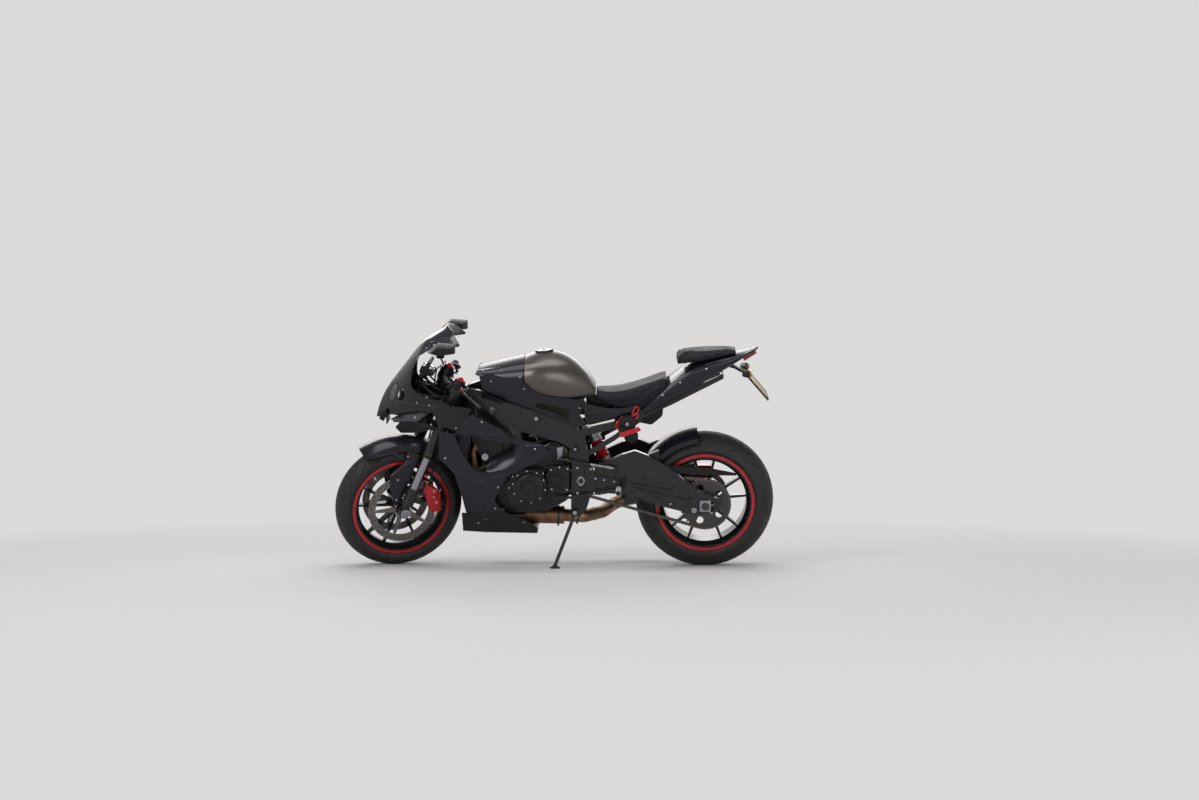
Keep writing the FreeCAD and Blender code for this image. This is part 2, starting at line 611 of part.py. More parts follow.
def hanging_lock():
    """Round disc lock with a bar across it, hung on the left seat rail."""
    body = rod(V(LOCK_X, SUBFRAME_Y, LOCK_Z), V(LOCK_X, SUBFRAME_Y + 44, LOCK_Z), LOCK_R)
    bar_rows = [(LOCK_X + 44, LOCK_Z - 26, 8), (LOCK_X - 42, LOCK_Z - 74, 8), (LOCK_X - 52, LOCK_Z - 54, 8),
                (LOCK_X + 34, LOCK_Z - 4, 8)]
    bar = slab(bar_rows, SUBFRAME_Y + 20, SUBFRAME_Y + 54)
    whole = body.fuse(bar).removeSplitter().cut(subframe())
    return max(whole.Solids, key=lambda solid: solid.Volume)


LOCK_X, LOCK_Z, LOCK_R = -358.0, 706.0, 40.0

# Engine: four cylinders across the frame
ENGINE_HALF_W, HEAD_HALF_W = 186.0, 150.0
GENERATOR_X, GENERATOR_Z, GENERATOR_R, GENERATOR_Y = 92.0, 424.0, 66.0, 224.0
SLIDER_X, SLIDER_Y, SLIDER_Z, SLIDER_HOLE_R, SLIDER_DEPTH = 292.0, 186.0, 562.0, 5.0, 26.0


def engine_block():
    """Crankcase, cylinders leaning forward, and sump, as one plain closed block."""
    case = slab([(-84, 520, 20), (-88, 352, 30), (10, 296, 20), (190, 286, 30), (238, 330, 30), (250, 470, 20),
                 (120, 540, 10), (20, 540, 20)], -ENGINE_HALF_W + 46, ENGINE_HALF_W - 46)
    crank_left = slab([(24, 500, 10), (24, 346, 20), (170, 336, 40), (206, 420, 40), (150, 506, 30)],
                      0, ENGINE_HALF_W)
    crank_right = slab([(-56, 500, 20), (-56, 350, 30), (170, 336, 40), (206, 420, 40), (150, 506, 30)],
                       -ENGINE_HALF_W, 0)
    cylinders = slab([(96, 506, 0), (262, 430, 0), (352, 640, 16), (330, 690, 30), (226, 730, 30),
                      (190, 700, 10)], -HEAD_HALF_W + 12, HEAD_HALF_W - 12)
    block_solid = fused([case, crank_left, crank_right, cylinders])
    wrap = sprocket_radius(FRONT_TEETH) + PLATE_H / 2
    chain_room = slab([(SPROCKET_X + wrap + 6, SPROCKET_Z + 24, 10), (SPROCKET_X + 40, SPROCKET_Z + 52, 10),
                       (-130, SPROCKET_Z + 52, 0), (-130, SPROCKET_Z - 90, 0), (SPROCKET_X, SPROCKET_Z - 57, 10),
                       (SPROCKET_X + 48, SPROCKET_Z - 45, 10)], CHAIN_Y - 42, CHAIN_Y + 100)
    block_solid = block_solid.cut(chain_room).cut(both_sides(frame_beam()))
    return block_solid.cut(rod(PIVOT - LEFT * 200, PIVOT + LEFT * 200, PIVOT_TUBE_R + 8)).removeSplitter()


def threaded_bosses():
    """Bosses with blind threaded holes: engine mounts for sliders, arm ends for stand spools."""
    # x, y of the face it stands on, y of its mouth, z, radius, hole radius and depth
    rows = ((SLIDER_X, HEAD_HALF_W - 12, SLIDER_Y, SLIDER_Z, 15, SLIDER_HOLE_R, SLIDER_DEPTH),
            (REAR_AXLE.x + SPOOL_BACK, ARM_Y + ARM_THICK, SPOOL_Y, REAR_AXLE.z - SPOOL_DROP, 12, SPOOL_HOLE_R,
             SPOOL_DEPTH))
    solids = []
    for x, foot, mouth, z, radius, hole, depth in rows:
        boss = rod(V(x, foot, z), V(x, mouth, z), radius)
        boss = boss.cut(rod(V(x, mouth - depth, z), V(x, mouth + 1, z), hole))
        solids += [boss, mirrored(boss)]
    return Part.makeCompound(solids)


SPOOL_BACK, SPOOL_DROP, SPOOL_Y, SPOOL_DEPTH = 52.0, 16.0, 168.0, 14.0


def round_cover(x, z, y, radius, side):
    """Domed side cover: rim flange, barrel and bevelled face, on a crank end."""
    centre = V(x, 0, z)
    inner = ENGINE_HALF_W
    rows = [(inner, 0), (inner, radius + 14), (inner + 8, radius + 14), (inner + 10, radius + 2),
            (y - 10, radius), (y, radius - 12), (y, radius - 26), (y - 4, radius - 30), (y - 4, 0)]
    cover = revolve_about_y(rows, centre)
    if side < 0:
        cover = mirrored(cover)
    return cover


def sprocket_cover():
    """Left cover over the output sprocket, with a round boss."""
    low, high = ENGINE_HALF_W - 46, ENGINE_HALF_W - 20
    rows = [(6, 512, 14), (-94, 516, 14), (-88, 386, 14), (-20, 384, 10), (10, 410, 20)]
    body = slab(rows, low, high)
    boss = rod(V(SPROCKET_X, high - 1, SPROCKET_Z - 6), V(SPROCKET_X, high + 8, SPROCKET_Z - 6), 31)
    return fused([body, boss])


def radiator():
    """Slab core with side tanks, ahead of the engine."""
    rows = [(372, 700, 6), (402, 706, 6), (424, 440, 6), (394, 436, 6)]
    core = slab(rows, -RADIATOR_HALF_W, RADIATOR_HALF_W)
    tank_rows = [(362, 712, 10), (406, 718, 10), (430, 430, 10), (386, 426, 10)]
    side = slab(tank_rows, RADIATOR_HALF_W, RADIATOR_HALF_W + 18)
    bracket = rod(V(374, RADIATOR_HALF_W + 8, 708), V(344, RADIATOR_HALF_W + 2, 748), 7).cut(frame_beam())
    fairing_peg = rod(V(400, RADIATOR_HALF_W + 16, 570), V(400, 211, 570), 7)
    return fused([core, side, mirrored(side), bracket, mirrored(bracket), fairing_peg, mirrored(fairing_peg)])


RADIATOR_HALF_W = 120.0


def exhaust_pipes():
    """Four header pipes down the engine's front into a collector under the sump."""
    shapes = []
    out = V(0.919, 0, -0.394)
    flanges = []
    for y in (-100, -36, 36, 100):
        aim = y * 0.34
        port = V(330.6, y, 590)
        points = [port, port + out * 26, V(344, y, 490), V(322, y, 300), V(250, aim, 246), V(120, aim, 246)]
        shapes.append(bent_tube(points, HEADER_R, 30))
        flanges.append(rod(port, port + out * 9, 28))
    collector = rod(V(140, 0, 246), V(-60, -10, 238), 42)
    way = silencer_way()
    outlet = bent_tube([V(-58, -10, 238), V(-150, -24, 228), V(-240, -120, 226), SILENCER_START - way * 60,
                        SILENCER_START], 30, 45)
    return fused(shapes + flanges + [collector, outlet])


HEADER_R = 19.0
SILENCER_START = V(-336, -214, 262)


def silencer_way():
    way = V(-330, -8, 156)
    way.normalize()
    return way


def silencer():
    """Tapered can on the right, with its outlet and a hanger strap."""
    way = silencer_way()
    low = SILENCER_START + way * SEAT_GAP
    stations = [Part.Wire([Part.makeCircle(radius, low + way * run, way)])
                for run, radius in ((0, 34), (70, 52), (300, 54), (360, 44))]
    body = skin(stations)
    tip = low + way * 360
    outlet = rod(tip - way * 2, tip + way * 30, 26, 23)
    return fused([body, outlet])


# Rear end
ARM_Y, ARM_THICK = 122.0, 28.0
BLOCK_HALF_L, BLOCK_HALF_H = 25.0, 22.0


def swingarm():
    ax, az, px, pz = REAR_AXLE.x, REAR_AXLE.z, PIVOT_X, PIVOT_Z
    rows = [
        (px - 62, pz + 68, 10), (px - 190, pz + 124, 60), (px - 250, pz + 142, 24), (px - 310, pz + 118, 40),
        (ax + 174, az + 187, 60), (ax + 40, az + 76, 40), (ax - 58, az + 34, 10), (ax - 74, az + 12, 8),
        (ax - 62, az - 24, 8), (ax + 41, az - 42, 30), (ax + 197, az - 2, 60), (px - 197, pz - 64, 40),
        (px - 64, pz - 54, 10),
    ]
    arm = slab(rows, ARM_Y, ARM_Y + ARM_THICK)
    recess_rows = [(px - 250, pz + 40, 10), (ax + 150, az + 110, 20), (ax + 60, az + 40, 8),
                   (ax + 90, az - 14, 8), (ax + 190, az + 24, 20), (px - 220, pz - 20, 16)]
    recess = slab(recess_rows, ARM_Y + ARM_THICK - 5, ARM_Y + ARM_THICK + 5)
    slot = block(ax - BLOCK_HALF_L - 12, ax + BLOCK_HALF_L + 6, ARM_Y - 1, ARM_Y + ARM_THICK + 1,
                 az - BLOCK_HALF_H - SEAT_GAP, az + BLOCK_HALF_H + SEAT_GAP)
    arm = arm.cut(recess).cut(slot)
    cross = slab([(px + 4, pz + 20, 0), (px - 40, pz + 24, 0), (px - 190, pz - 4, 20), (px - 190, pz - 58, 14),
                  (px - 60, pz - 46, 20), (px + 4, pz - 20, 0)], -ARM_Y + 22, ARM_Y - 22)
    outrigger = slab([(px - 66, pz + 22, 0), (px - 190, pz - 4, 20), (px - 190, pz - 58, 14),
                      (px - 66, pz - 46, 0)], ARM_Y - 23, ARM_Y + 1)
    tube = rod(PIVOT - LEFT * (PLATE_Y - SEAT_GAP), PIVOT + LEFT * (PLATE_Y - SEAT_GAP), PIVOT_TUBE_R)
    ears = slab([(px - 118, pz + 60, 14), (px - 90, pz + 4, 0), (px - 150, pz - 10, 0)], 18, 28)
    shapes = [arm, mirrored(arm), cross, outrigger, mirrored(outrigger), tube, ears, mirrored(ears)]
    return fused(shapes).cut(rod(PIVOT - LEFT * 200, PIVOT + LEFT * 200, PIVOT_AXLE_R + SEAT_GAP))


SPOOL_HOLE_R = 4.0


def rear_axle():
    """Wheel shaft with its adjuster blocks, nuts and spacers."""
    ax, az = REAR_AXLE.x, REAR_AXLE.z
    end = ARM_Y + ARM_THICK + 12
    shapes = [rod(REAR_AXLE - LEFT * end, REAR_AXLE + LEFT * end, AXLE_R)]
    for side in (-1, 1):
        low = min(side * (ARM_Y + SEAT_GAP), side * (ARM_Y + ARM_THICK + 3))
        high = max(side * (ARM_Y + SEAT_GAP), side * (ARM_Y + ARM_THICK + 3))
        shapes.append(block(ax - BLOCK_HALF_L, ax + BLOCK_HALF_L, low, high, az - BLOCK_HALF_H,
                            az + BLOCK_HALF_H))
        nut = REAR_AXLE + LEFT * side * (ARM_Y + ARM_THICK + 2)
        shapes.append(rod(nut, nut + LEFT * side * 8, 18))
        inner = CHAIN_Y + SPROCKET_T / 2 + 1 if side > 0 else REAR_HUB_HALF_W + DISC_T + 20
        shapes.append(rod(REAR_AXLE + LEFT * side * inner, REAR_AXLE + LEFT * side * (ARM_Y + 2), 19))
    return fused(shapes)


def rear_hugger():
    half, t = 104.0, 3.0
    crown, edge = REAR_TYRE_R + 26, REAR_TYRE_R - 34
    rows = [
        (half, edge), (half, edge + 22), (-half, edge + 22, (0, crown)), (-half, edge),
        (-half + t, edge), (-half + t, edge + 22 - t), (half - t, edge + 22 - t, (0, crown - t)),
        (half - t, edge),
    ]
    hood = revolve_about_y(rows, REAR_AXLE, 34, 50)
    lug_rows = [(REAR_AXLE.x + 205, REAR_AXLE.z + 262, 10), (REAR_AXLE.x + 262, REAR_AXLE.z + 236, 10),
                (REAR_AXLE.x + 252, REAR_AXLE.z + 180, 10), (REAR_AXLE.x + 215, REAR_AXLE.z + 200, 10)]
    lug = slab(lug_rows, half - 1, ARM_Y - SEAT_GAP)
    return fused([hood, lug, mirrored(lug)])


def chain_guard():
    ax, az = REAR_AXLE.x, REAR_AXLE.z
    rows = [(ax + 190, az + 188, 6), (ax + 196, az + 150, 6), (ax - 60, az + 138, 0), (ax - 144, az + 137, 2),
            (ax - 142, az + 146, 2), (ax - 20, az + 170, 20)]
    return slab(rows, ARM_Y - 15, ARM_Y - SEAT_GAP)


SHOCK_TOP = V(-186, 0, 648)
SHOCK_LOW = V(PIVOT_X - 118, 0, PIVOT_Z + 46)


def shock_body():
    way = SHOCK_LOW - SHOCK_TOP
    run = way.Length
    way.normalize()
    shapes = [rod(SHOCK_TOP, SHOCK_TOP + way * run, 9),
              rod(SHOCK_TOP + way * 18, SHOCK_TOP + way * 46, 24),
              rod(SHOCK_TOP + way * (run - 38), SHOCK_TOP + way * (run - 18), 30),
              rod(SHOCK_TOP + way * 40, SHOCK_TOP + way * 52, 33),
              rod(SHOCK_TOP - LEFT * 17.8, SHOCK_TOP + LEFT * 17.8, 14),
              rod(SHOCK_LOW - LEFT * 17.8, SHOCK_LOW + LEFT * 17.8, 14)]
    return fused(shapes)


def shock_spring():
    """Coil spring between the shock's cups, drawn as a ridged sleeve."""
    way = SHOCK_LOW - SHOCK_TOP
    run = way.Length
    way.normalize()
    start, stop = 52 + SEAT_GAP, run - 38 - SEAT_GAP
    turns = 6
    pitch = (stop - start) / turns
    points = [V(0, 18, 0)]
    for k in range(turns):
        z = k * pitch
        points += [V(0, 24, z), V(0, 31, z + pitch * 0.3), V(0, 31, z + pitch * 0.7)]
    points += [V(0, 24, stop - start), V(0, 18, stop - start)]
    solid = Part.Face(loop_wire(points)).revolve(V(0, 0, 0), V(0, 0, 1), 360)
    turn = FreeCAD.Rotation(V(0, 0, 1), way)
    solid.Placement = FreeCAD.Placement(SHOCK_TOP + way * start, turn)
    return solid


def shock_mount():
    """Ears on the frame's upper cross tube that hold the shock's top eye."""
    rows = [(-140, 655, 8), (-200, 664, 10), (-200, 634, 10), (-140, 625, 8)]
    ear = slab(rows, 18, 26)
    return ear.cut(rod(V(-150, -200, 640), V(-150, 200, 640), 15))


def rear_caliper():
    ax, az = REAR_AXLE.x, REAR_AXLE.z
    rows = [(ax - 42, az + 76, 8), (ax + 40, az + 76, 8), (ax + 46, az + 138, 14), (ax - 40, az + 138, 14)]
    low, high = -ARM_Y + SEAT_GAP, REAR_DISC_Y + 20
    body = slab(rows, low, high)
    slot_low, slot_high = REAR_DISC_Y - DISC_T / 2 - MOVE_GAP, REAR_DISC_Y + DISC_T / 2 + MOVE_GAP
    slot = rod(REAR_AXLE + LEFT * slot_low, REAR_AXLE + LEFT * slot_high, REAR_DISC_R + MOVE_GAP)
    hanger = slab([(ax + 20, az + 122, 6), (ax + 96, az + 112, 8), (ax + 92, az + 56, 8), (ax + 20, az + 80, 6)],
                  low, low + 10)
    return fused([body.cut(slot), hanger])


def rearset(side):
    """Foot peg hanger bolted outside the frame plate, with its peg and pedal."""
    low = PLATE_Y + PLATE_THICK + 6
    rows = [(-168, 516, 8), (-188, 520, 8), (-214, 470, 10), (-330, 448, 12), (-346, 420, 12), (-310, 392, 12),
            (-230, 376, 10), (-170, 380, 8)]
    plate = slab(rows, low, low + 8)
    window = slab([(-216, 450, 8), (-284, 436, 8), (-284, 414, 8), (-216, 400, 8)], low - 1, low + 9)
    shapes = [plate.cut(window)]
    for x, z in ((-176, 500), (-180, 396)):
        shapes.append(rod(V(x, PLATE_Y + PLATE_THICK, z), V(x, low + 1, z), 9))
    shapes.append(rod(V(-317, low + 7, 409), V(-317, low + 24, 409), 14))
    shapes.append(rod(V(-317, low + 23, 409), V(-317, low + 110, 409), 11))
    y = low + 17
    if side > 0:
        shapes += [rod(V(-317, y - 5, 409), V(-317, y + 5, 409), 17),
                   rod(V(-312, y, 406), V(-96, y, 366), 6), rod(V(-96, y, 366), V(-24, y, 370), 6),
                   Part.makeSphere(6, V(-96, y, 366)),
                   rod(V(-30, y, 370), V(-30, y + 42, 370), 8)]
        shapes += [rod(V(-317, y, 409), V(-303, y, 500), 5), rod(V(-303, y, 500), V(-52, y, 546), 5),
                   Part.makeSphere(9, V(-303, y, 500)), Part.makeSphere(9, V(-52, y, 546))]
    else:
        shapes += [rod(V(-317, y - 5, 409), V(-317, y + 5, 409), 17),
                   rod(V(-312, y, 404), V(-170, y, 350), 6), rod(V(-174, y, 352), V(-174, y + 46, 352), 9)]
    whole = fused(shapes)
    return mirrored(whole) if side < 0 else whole


# Side stand
STAND_X, STAND_Y, STAND_Z = -116.0, 158.0, 288.0
STAND_AXIS = V(0.0, 0.909, 0.417)
STAND_SWING_DEG = 94.0
STAND_PIN_R, STAND_EYE_R, STAND_LEG_R = 6.0, 15.0, 8.0


def stand_axis():
    axis = V(STAND_AXIS.x, STAND_AXIS.y, STAND_AXIS.z)
    axis.normalize()
    return axis


def stand_bracket():
    """Plate under the left pivot plate with the pin that the stand turns on."""
    axis = stand_axis()
    centre = V(STAND_X, STAND_Y, STAND_Z)
    plate_low = PLATE_Y - 4
    rows = [(-98, 372, 0), (-190, 372, 0), (-168, 300, 20), (-134, 262, 16), (-96, 262, 16)]
    plate = slab(rows, plate_low, plate_low + 14)
    boss = rod(centre - axis * 42, centre - axis * 9, 16)
    boss = boss.cut(block(-300, 0, 0, plate_low + 1, 0, 600))
    pin = rod(centre - axis * 12, centre + axis * 12, STAND_PIN_R)
    head = rod(centre + axis * 8.5, centre + axis * 12, STAND_PIN_R + 5)
    return fused([plate, boss, pin, head])


def side_stand(stance):
    """Leg from the pin's eye down to a foot pad that lies flat on the ground."""
    axis = stand_axis()
    centre = V(STAND_X, STAND_Y, STAND_Z)
    home = stance.inverse()
    start = stance.multVec(centre)
    foot = V(start.x + STAND_FOOT_AHEAD, STAND_FOOT_OUT, 0)
    up = home.Rotation.multVec(V(0, 0, 1))
    sole = home.multVec(foot)
    ankle = sole + up * 14
    eye = rod(centre - axis * 8.5, centre + axis * 8.2, STAND_EYE_R)
    reach = ankle - centre
    reach.normalize()
    leg_bar = rod(centre + reach * 4, ankle, STAND_LEG_R)
    pad = rod(sole, sole + up * 8, 24)
    neck = Part.makeCone(16, 9, 10, sole + up * 7, up)
    whole = fused([eye, leg_bar, pad, neck])
    return whole.cut(rod(centre - axis * 40, centre + axis * 40, STAND_PIN_R + RUN_GAP))


# Bodywork
def hoop(z, front_x, mid, rear, t):
    """Horizontal U of wall t: rear left, round the nose, to rear right. mid and rear are (x, y)."""
    outer_rear, outer_mid, tip = V(rear[0], rear[1], z), V(mid[0], mid[1], z), V(front_x, 0, z)
    inner_rear, inner_mid = V(rear[0], rear[1] - t, z), V(mid[0] - t * 0.6, mid[1] - t * 0.8, z)
    inner_tip = V(front_x - t * 1.6, 0, z)

    def flip(p):
        return V(p.x, -p.y, p.z)
    edges = [
        Part.Arc(outer_rear, outer_mid, tip).toShape(),
        Part.Arc(tip, flip(outer_mid), flip(outer_rear)).toShape(),
        Part.LineSegment(flip(outer_rear), flip(inner_rear)).toShape(),
        Part.Arc(flip(inner_rear), flip(inner_mid), inner_tip).toShape(),
        Part.Arc(inner_tip, inner_mid, inner_rear).toShape(),
        Part.LineSegment(inner_rear, outer_rear).toShape(),
    ]
    return Part.Wire(edges)


def rib(x, top, mid, low, t):
    """Upright curved strip of wall t at station x, through (y, z) points at top, middle and bottom."""
    edges = [
        Part.Arc(V(x, top[0], top[1]), V(x, mid[0], mid[1]), V(x, low[0], low[1])).toShape(),
        Part.LineSegment(V(x, low[0], low[1]), V(x, low[0] - t, low[1])).toShape(),
        Part.Arc(V(x, low[0] - t, low[1]), V(x, mid[0] - t, mid[1]), V(x, top[0] - t, top[1])).toShape(),
        Part.LineSegment(V(x, top[0] - t, top[1]), V(x, top[0], top[1])).toShape(),
    ]
    return Part.Wire(edges)


NOSE_HOOPS = (
    # height, front x, (middle x, y), (rear x, y)
    (640, 806, (654, 96), (340, 206)),
    (690, 812, (650, 108), (340, 216)),
    (785, 787, (630, 146), (340, 226)),
    (850, 755, (610, 164), (340, 228)),
    (925, 700, (575, 168), (340, 214)),
    (1010, 634, (530, 154), (340, 198)),
    (1090, 556, (470, 124), (340, 164)),
    (1156, 466, (420, 78), (340, 118)),
)
NOSE_SIDE = [(830, 700, 0), (808, 714, 0), (727, 738, 10), (597, 774, 30), (523, 771, 20), (500, 690, 10),
             (430, 676, 8), (362, 770, 20), (345, 796, 0), (445, 808, 30), (489, 823, 20), (589, 838, 30),
             (625, 878, 30), (632, 912, 20), (620, 963, 30), (597, 1012, 8), (640, 1000, 0), (712, 912, 0),
             (800, 860, 0), (830, 790, 0)]
LAMP_SIDE = [(742, 782, 10), (752, 812, 30), (716, 884, 12), (694, 880, 10), (706, 830, 30), (722, 790, 6)]


def nose_shell(wall, inset=0.0):
    """Curved shell of the nose and screen, its outside moved in by inset."""
    return skin([hoop(z, front - inset * 1.6, (mid[0] - inset * 0.6, mid[1] - inset * 0.8),
                      (rear[0], rear[1] - inset), wall) for z, front, mid, rear in NOSE_HOOPS])


def nose_fairing(shell):
    panel = shell.common(slab(NOSE_SIDE, -400, 400))
    hole = [(x, z, r) for x, z, r in LAMP_SIDE]
    return panel.cut(slab(hole, 12, 400)).cut(slab(hole, -400, -12))


TAIL_LAMP_SIDE = [(-886, 994, 0), (-946, 1030, 0), (-952, 1014, 4), (-896, 978, 4)]


def lamps(shell):
    """A lens on each side of the nose, lying in the shell's own surface, and one under the tail's end."""
    middle_x = sum(row[0] for row in LAMP_SIDE) / len(LAMP_SIDE)
    middle_z = sum(row[1] for row in LAMP_SIDE) / len(LAMP_SIDE)
    shrink = 0.985
    rows = [(middle_x + (x - middle_x) * shrink, middle_z + (z - middle_z) * shrink, r * shrink)
            for x, z, r in LAMP_SIDE]
    lens = shell.common(slab(rows, 12 + SEAT_GAP, 400))
    tail = slab(TAIL_LAMP_SIDE, -36, 36).cut(tail_form())
    return Part.makeCompound([lens, mirrored(lens), max(tail.Solids, key=lambda solid: solid.Volume)])


SCREEN_SIDE = [(712.3, 912.3, 0), (760, 960, 0), (600, 1150, 0), (470, 1148, 4), (444, 1134, 10), (392, 1072, 8),
               (520, 1060, 30), (597, 1012.4, 6), (640.2, 1000.4, 0)]


def windscreen():
    return nose_shell(SCREEN_T).common(slab(SCREEN_SIDE, -400, 400))


SIDE_RIBS = (
    # x, top (y, z), middle, bottom
    (540, (170, 800), (196, 600), (178, 280)),
    (400, (214, 800), (216, 560), (180, 280)),
    (200, (226, 800), (238, 560), (186, 280)),
    (-20, (222, 800), (234, 560), (192, 280)),
)
FAIRING_SIDE = [(500, 688, 0), (430, 674, 8), (362, 768, 20), (312, 754, 10), (208, 700, 20), (180, 664, 10),
                (22, 633, 10), (4, 602, 10), (30, 560, 20), (96, 528, 30), (190, 482, 20), (232, 410, 20),
                (250, 360, 10), (221, 316, 10), (196, 300, 0), (384, 300, 0), (399, 373, 30), (434, 491, 40),
                (500, 560, 20)]
VENT_SIDE = [(427, 672, 6), (388, 577, 60), (345, 515, 30), (283, 497, 30), (190, 518, 30), (118, 560, 30),
             (92, 628, 6), (248, 660, 0)]


def side_fairing():
    shell = skin([rib(x, top, mid, low, PANEL_T) for x, top, mid, low in SIDE_RIBS])
    panel = shell.common(slab(FAIRING_SIDE, 100, 300))
    return panel.cut(slab(VENT_SIDE, 100, 300))


BELLY_STATIONS = (
    # x, half width and height at top, turn and bottom
    (404, 185, 299.7, 134, 200, 96, 190),
    (300, 190, 299.7, 144, 196, 104, 186),
    (60, 196, 299.7, 148, 192, 104, 182),
)
BELLY_SIDE = [(410, 299.7, 0), (410, 180, 0), (38, 170, 0), (36, 215, 0), (66, 229, 10), (110, 262, 20),
              (190, 299.7, 0)]


def belly_pan():
    wires = []
    for x, top_y, top_z, turn_y, turn_z, low_y, low_z in BELLY_STATIONS:
        t = PANEL_T
        outer = [(top_y, top_z), (turn_y, turn_z), (low_y, low_z), (-low_y, low_z), (-turn_y, turn_z),
                 (-top_y, top_z)]
        inner = [(-top_y + t, top_z), (-turn_y + t, turn_z + t / 2), (-low_y, low_z + t), (low_y, low_z + t),
                 (turn_y - t, turn_z + t / 2), (top_y - t, top_z)]
        wires.append(loop_wire([V(x, y, z) for y, z in outer + inner]))
    trough = skin(wires, True)
    return trough.common(slab(BELLY_SIDE, -300, 300))


def chin_ducts():
    """Blade-edged intake lip under the left side of the nose, following its inside."""
    rows = [(738, 712, 0), (690, 742, 6), (588, 772, 20), (524, 772, 6), (560, 752, 10), (600, 714, 20),
            (690, 700, 10)]
    lip_rows = [(716, 676, 6), (688, 652, 10), (616, 660, 10), (512, 692, 0), (560, 716, 10), (690, 704, 6)]
    both = slab(rows, 20, 300).fuse(slab(lip_rows, 20, 300))
    return nose_shell(PANEL_T, PANEL_T + SEAT_GAP).common(both)


AIRBOX_SIDE = [(338, 934, 4), (312, 966, 10), (238, 985, 20), (112, 1030, 0), (96, 912, 0), (145, 895, 20),
               (193, 924, 20), (271, 940, 20), (316, 926, 4)]


def dome(x, top_z, shoulder, mid, foot):
    """Closed section at station x: flat underside, bowed sides and an arched top; pairs are (y, z)."""
    def left(p):
        return V(x, p[0], p[1])

    def right(p):
        return V(x, -p[0], p[1])
    edges = [
        Part.LineSegment(right(foot), left(foot)).toShape(),
        Part.Arc(left(foot), left(mid), left(shoulder)).toShape(),
        Part.Arc(left(shoulder), V(x, 0, top_z), right(shoulder)).toShape(),
        Part.Arc(right(shoulder), right(mid), right(foot)).toShape(),
    ]
    return Part.Wire(edges)


TANK_STATIONS = (
    # x, crown, shoulder, widest, foot
    (112, 1002, (118, 982), (168, 930), (160, 850)),
    (40, 1022, (120, 994), (176, 930), (158, 850)),
    (-60, 1013, (100, 986), (150, 915), (140, 830)),
    (-150, 955, (76, 930), (108, 880), (104, 824)),
    (-212, 872, (48, 862), (66, 848), (66, 822)),
)
TANK_SIDE = [(107, 911, 0), (112, 1060, 0), (-240, 1060, 0), (-240, 830, 0), (-160, 824, 6), (-129, 818, 10),
             (-20, 835, 20), (36, 848, 20), (96, 905, 10)]


def tank_form():
    return skin([dome(*row) for row in TANK_STATIONS])


def fuel_tank():
    return tank_form().common(slab(TANK_SIDE, -300, 300))


AIRBOX_STATIONS = (
    (345, 950, (70, 944), (120, 925), (118, 890)),
    (240, 976, (96, 962), (140, 935), (140, 870)),
    (113, 1004, (118, 983), (167, 930), (160, 850)),
)


def airbox_cover():
    body = skin([dome(*row) for row in AIRBOX_STATIONS])
    return body.common(slab(AIRBOX_SIDE, -300, 300)).cut(slab(TANK_SIDE, -300, 300))


TRIM_SIDE = [(318, 925, 6), (271, 939.6, 20), (193, 923.6, 20), (145, 894.6, 20), (96, 904, 4), (36, 847.6, 20),
             (-20, 834.6, 20), (-129, 817.6, 10), (-156, 822, 0), (-176, 796, 6), (-140, 748, 10), (-170, 696, 6),
             (-118, 690, 20), (55, 766, 60), (300, 866, 20)]


def frame_trims():
    """Side panels between the frame beam and the tank, with the air grille's opening."""
    wires = []
    for x, top_y, low_y in ((330, 120, 146), (180, 152, 160), (0, 156, 158), (-180, 110, 128)):
        wires.append(loop_wire([V(x, low_y, 690), V(x, top_y, 960), V(x, top_y - PANEL_T, 960),
                                V(x, low_y - PANEL_T, 690)]))
    shell = skin(wires, True)
    panel = shell.common(slab(TRIM_SIDE, 0, 300))
    grille = slab([(52, 812, 8), (60, 790, 8), (-80, 744, 8), (-90, 775, 8)], 0, 300)
    return panel.cut(frame_beam()).cut(grille)


SEAT_STATIONS = (
    # x, crown, shoulder, widest, foot
    (-212.3, 852, (62, 846), (84, 824), (80, 800)),
    (-300, 845, (96, 842), (124, 815), (118, 782)),
    (-430, 876, (112, 872), (134, 830), (124, 768)),
    (-540, 915, (108, 912), (126, 880), (118, 840)),
)


def rider_seat():
    return skin([dome(*row) for row in SEAT_STATIONS])


PILLION_STATIONS = (
    (-585, 1024, (70, 1016), (92, 996), (88, 968)),
    (-700, 1030, (84, 1024), (102, 1006), (96, 984)),
    (-860, 1036, (50, 1032), (64, 1022), (60, 1014)),
)


def pillion_seat():
    return skin([dome(*row) for row in PILLION_STATIONS])


TAIL_STATIONS = (
    (-436, 800, (118, 790), (128, 770), (118, 745)),
    (-560, 905, (120, 890), (134, 860), (120, 806)),
    (-700, 985, (104, 968), (118, 930), (100, 884)),
    (-850, 1014, (72, 1005), (84, 990), (70, 972)),
    (-958, 1046, (26, 1043), (34, 1040), (28, 1034)),
)


def tail_form():
    return skin([dome(*row) for row in TAIL_STATIONS])


def tail_fairing():
    return tail_form().cut(rider_seat()).cut(pillion_seat()).cut(subframe())


def undertail():
    rows = [(-400, 700, 10), (-470, 686, 20), (-520, 728, 20), (-524, 776, 6), (-420, 742, 6)]
    return slab(rows, -70, 70).cut(tail_form())


def plate_hanger():
    """Bracket under the tail with its blank plate."""
    arm = beam([(-800, 0, 960, 40, 16), (-850, 0, 946, 40, 14), (-900, 0, 918, 60, 10)])
    rows = [(-894, 934, 0), (-1004, 806, 0), (-1001, 803, 0), (-891, 931, 0)]
    plate = slab(rows, -100, 100)
    return arm.fuse(plate).removeSplitter().cut(tail_form()).cut(subframe())


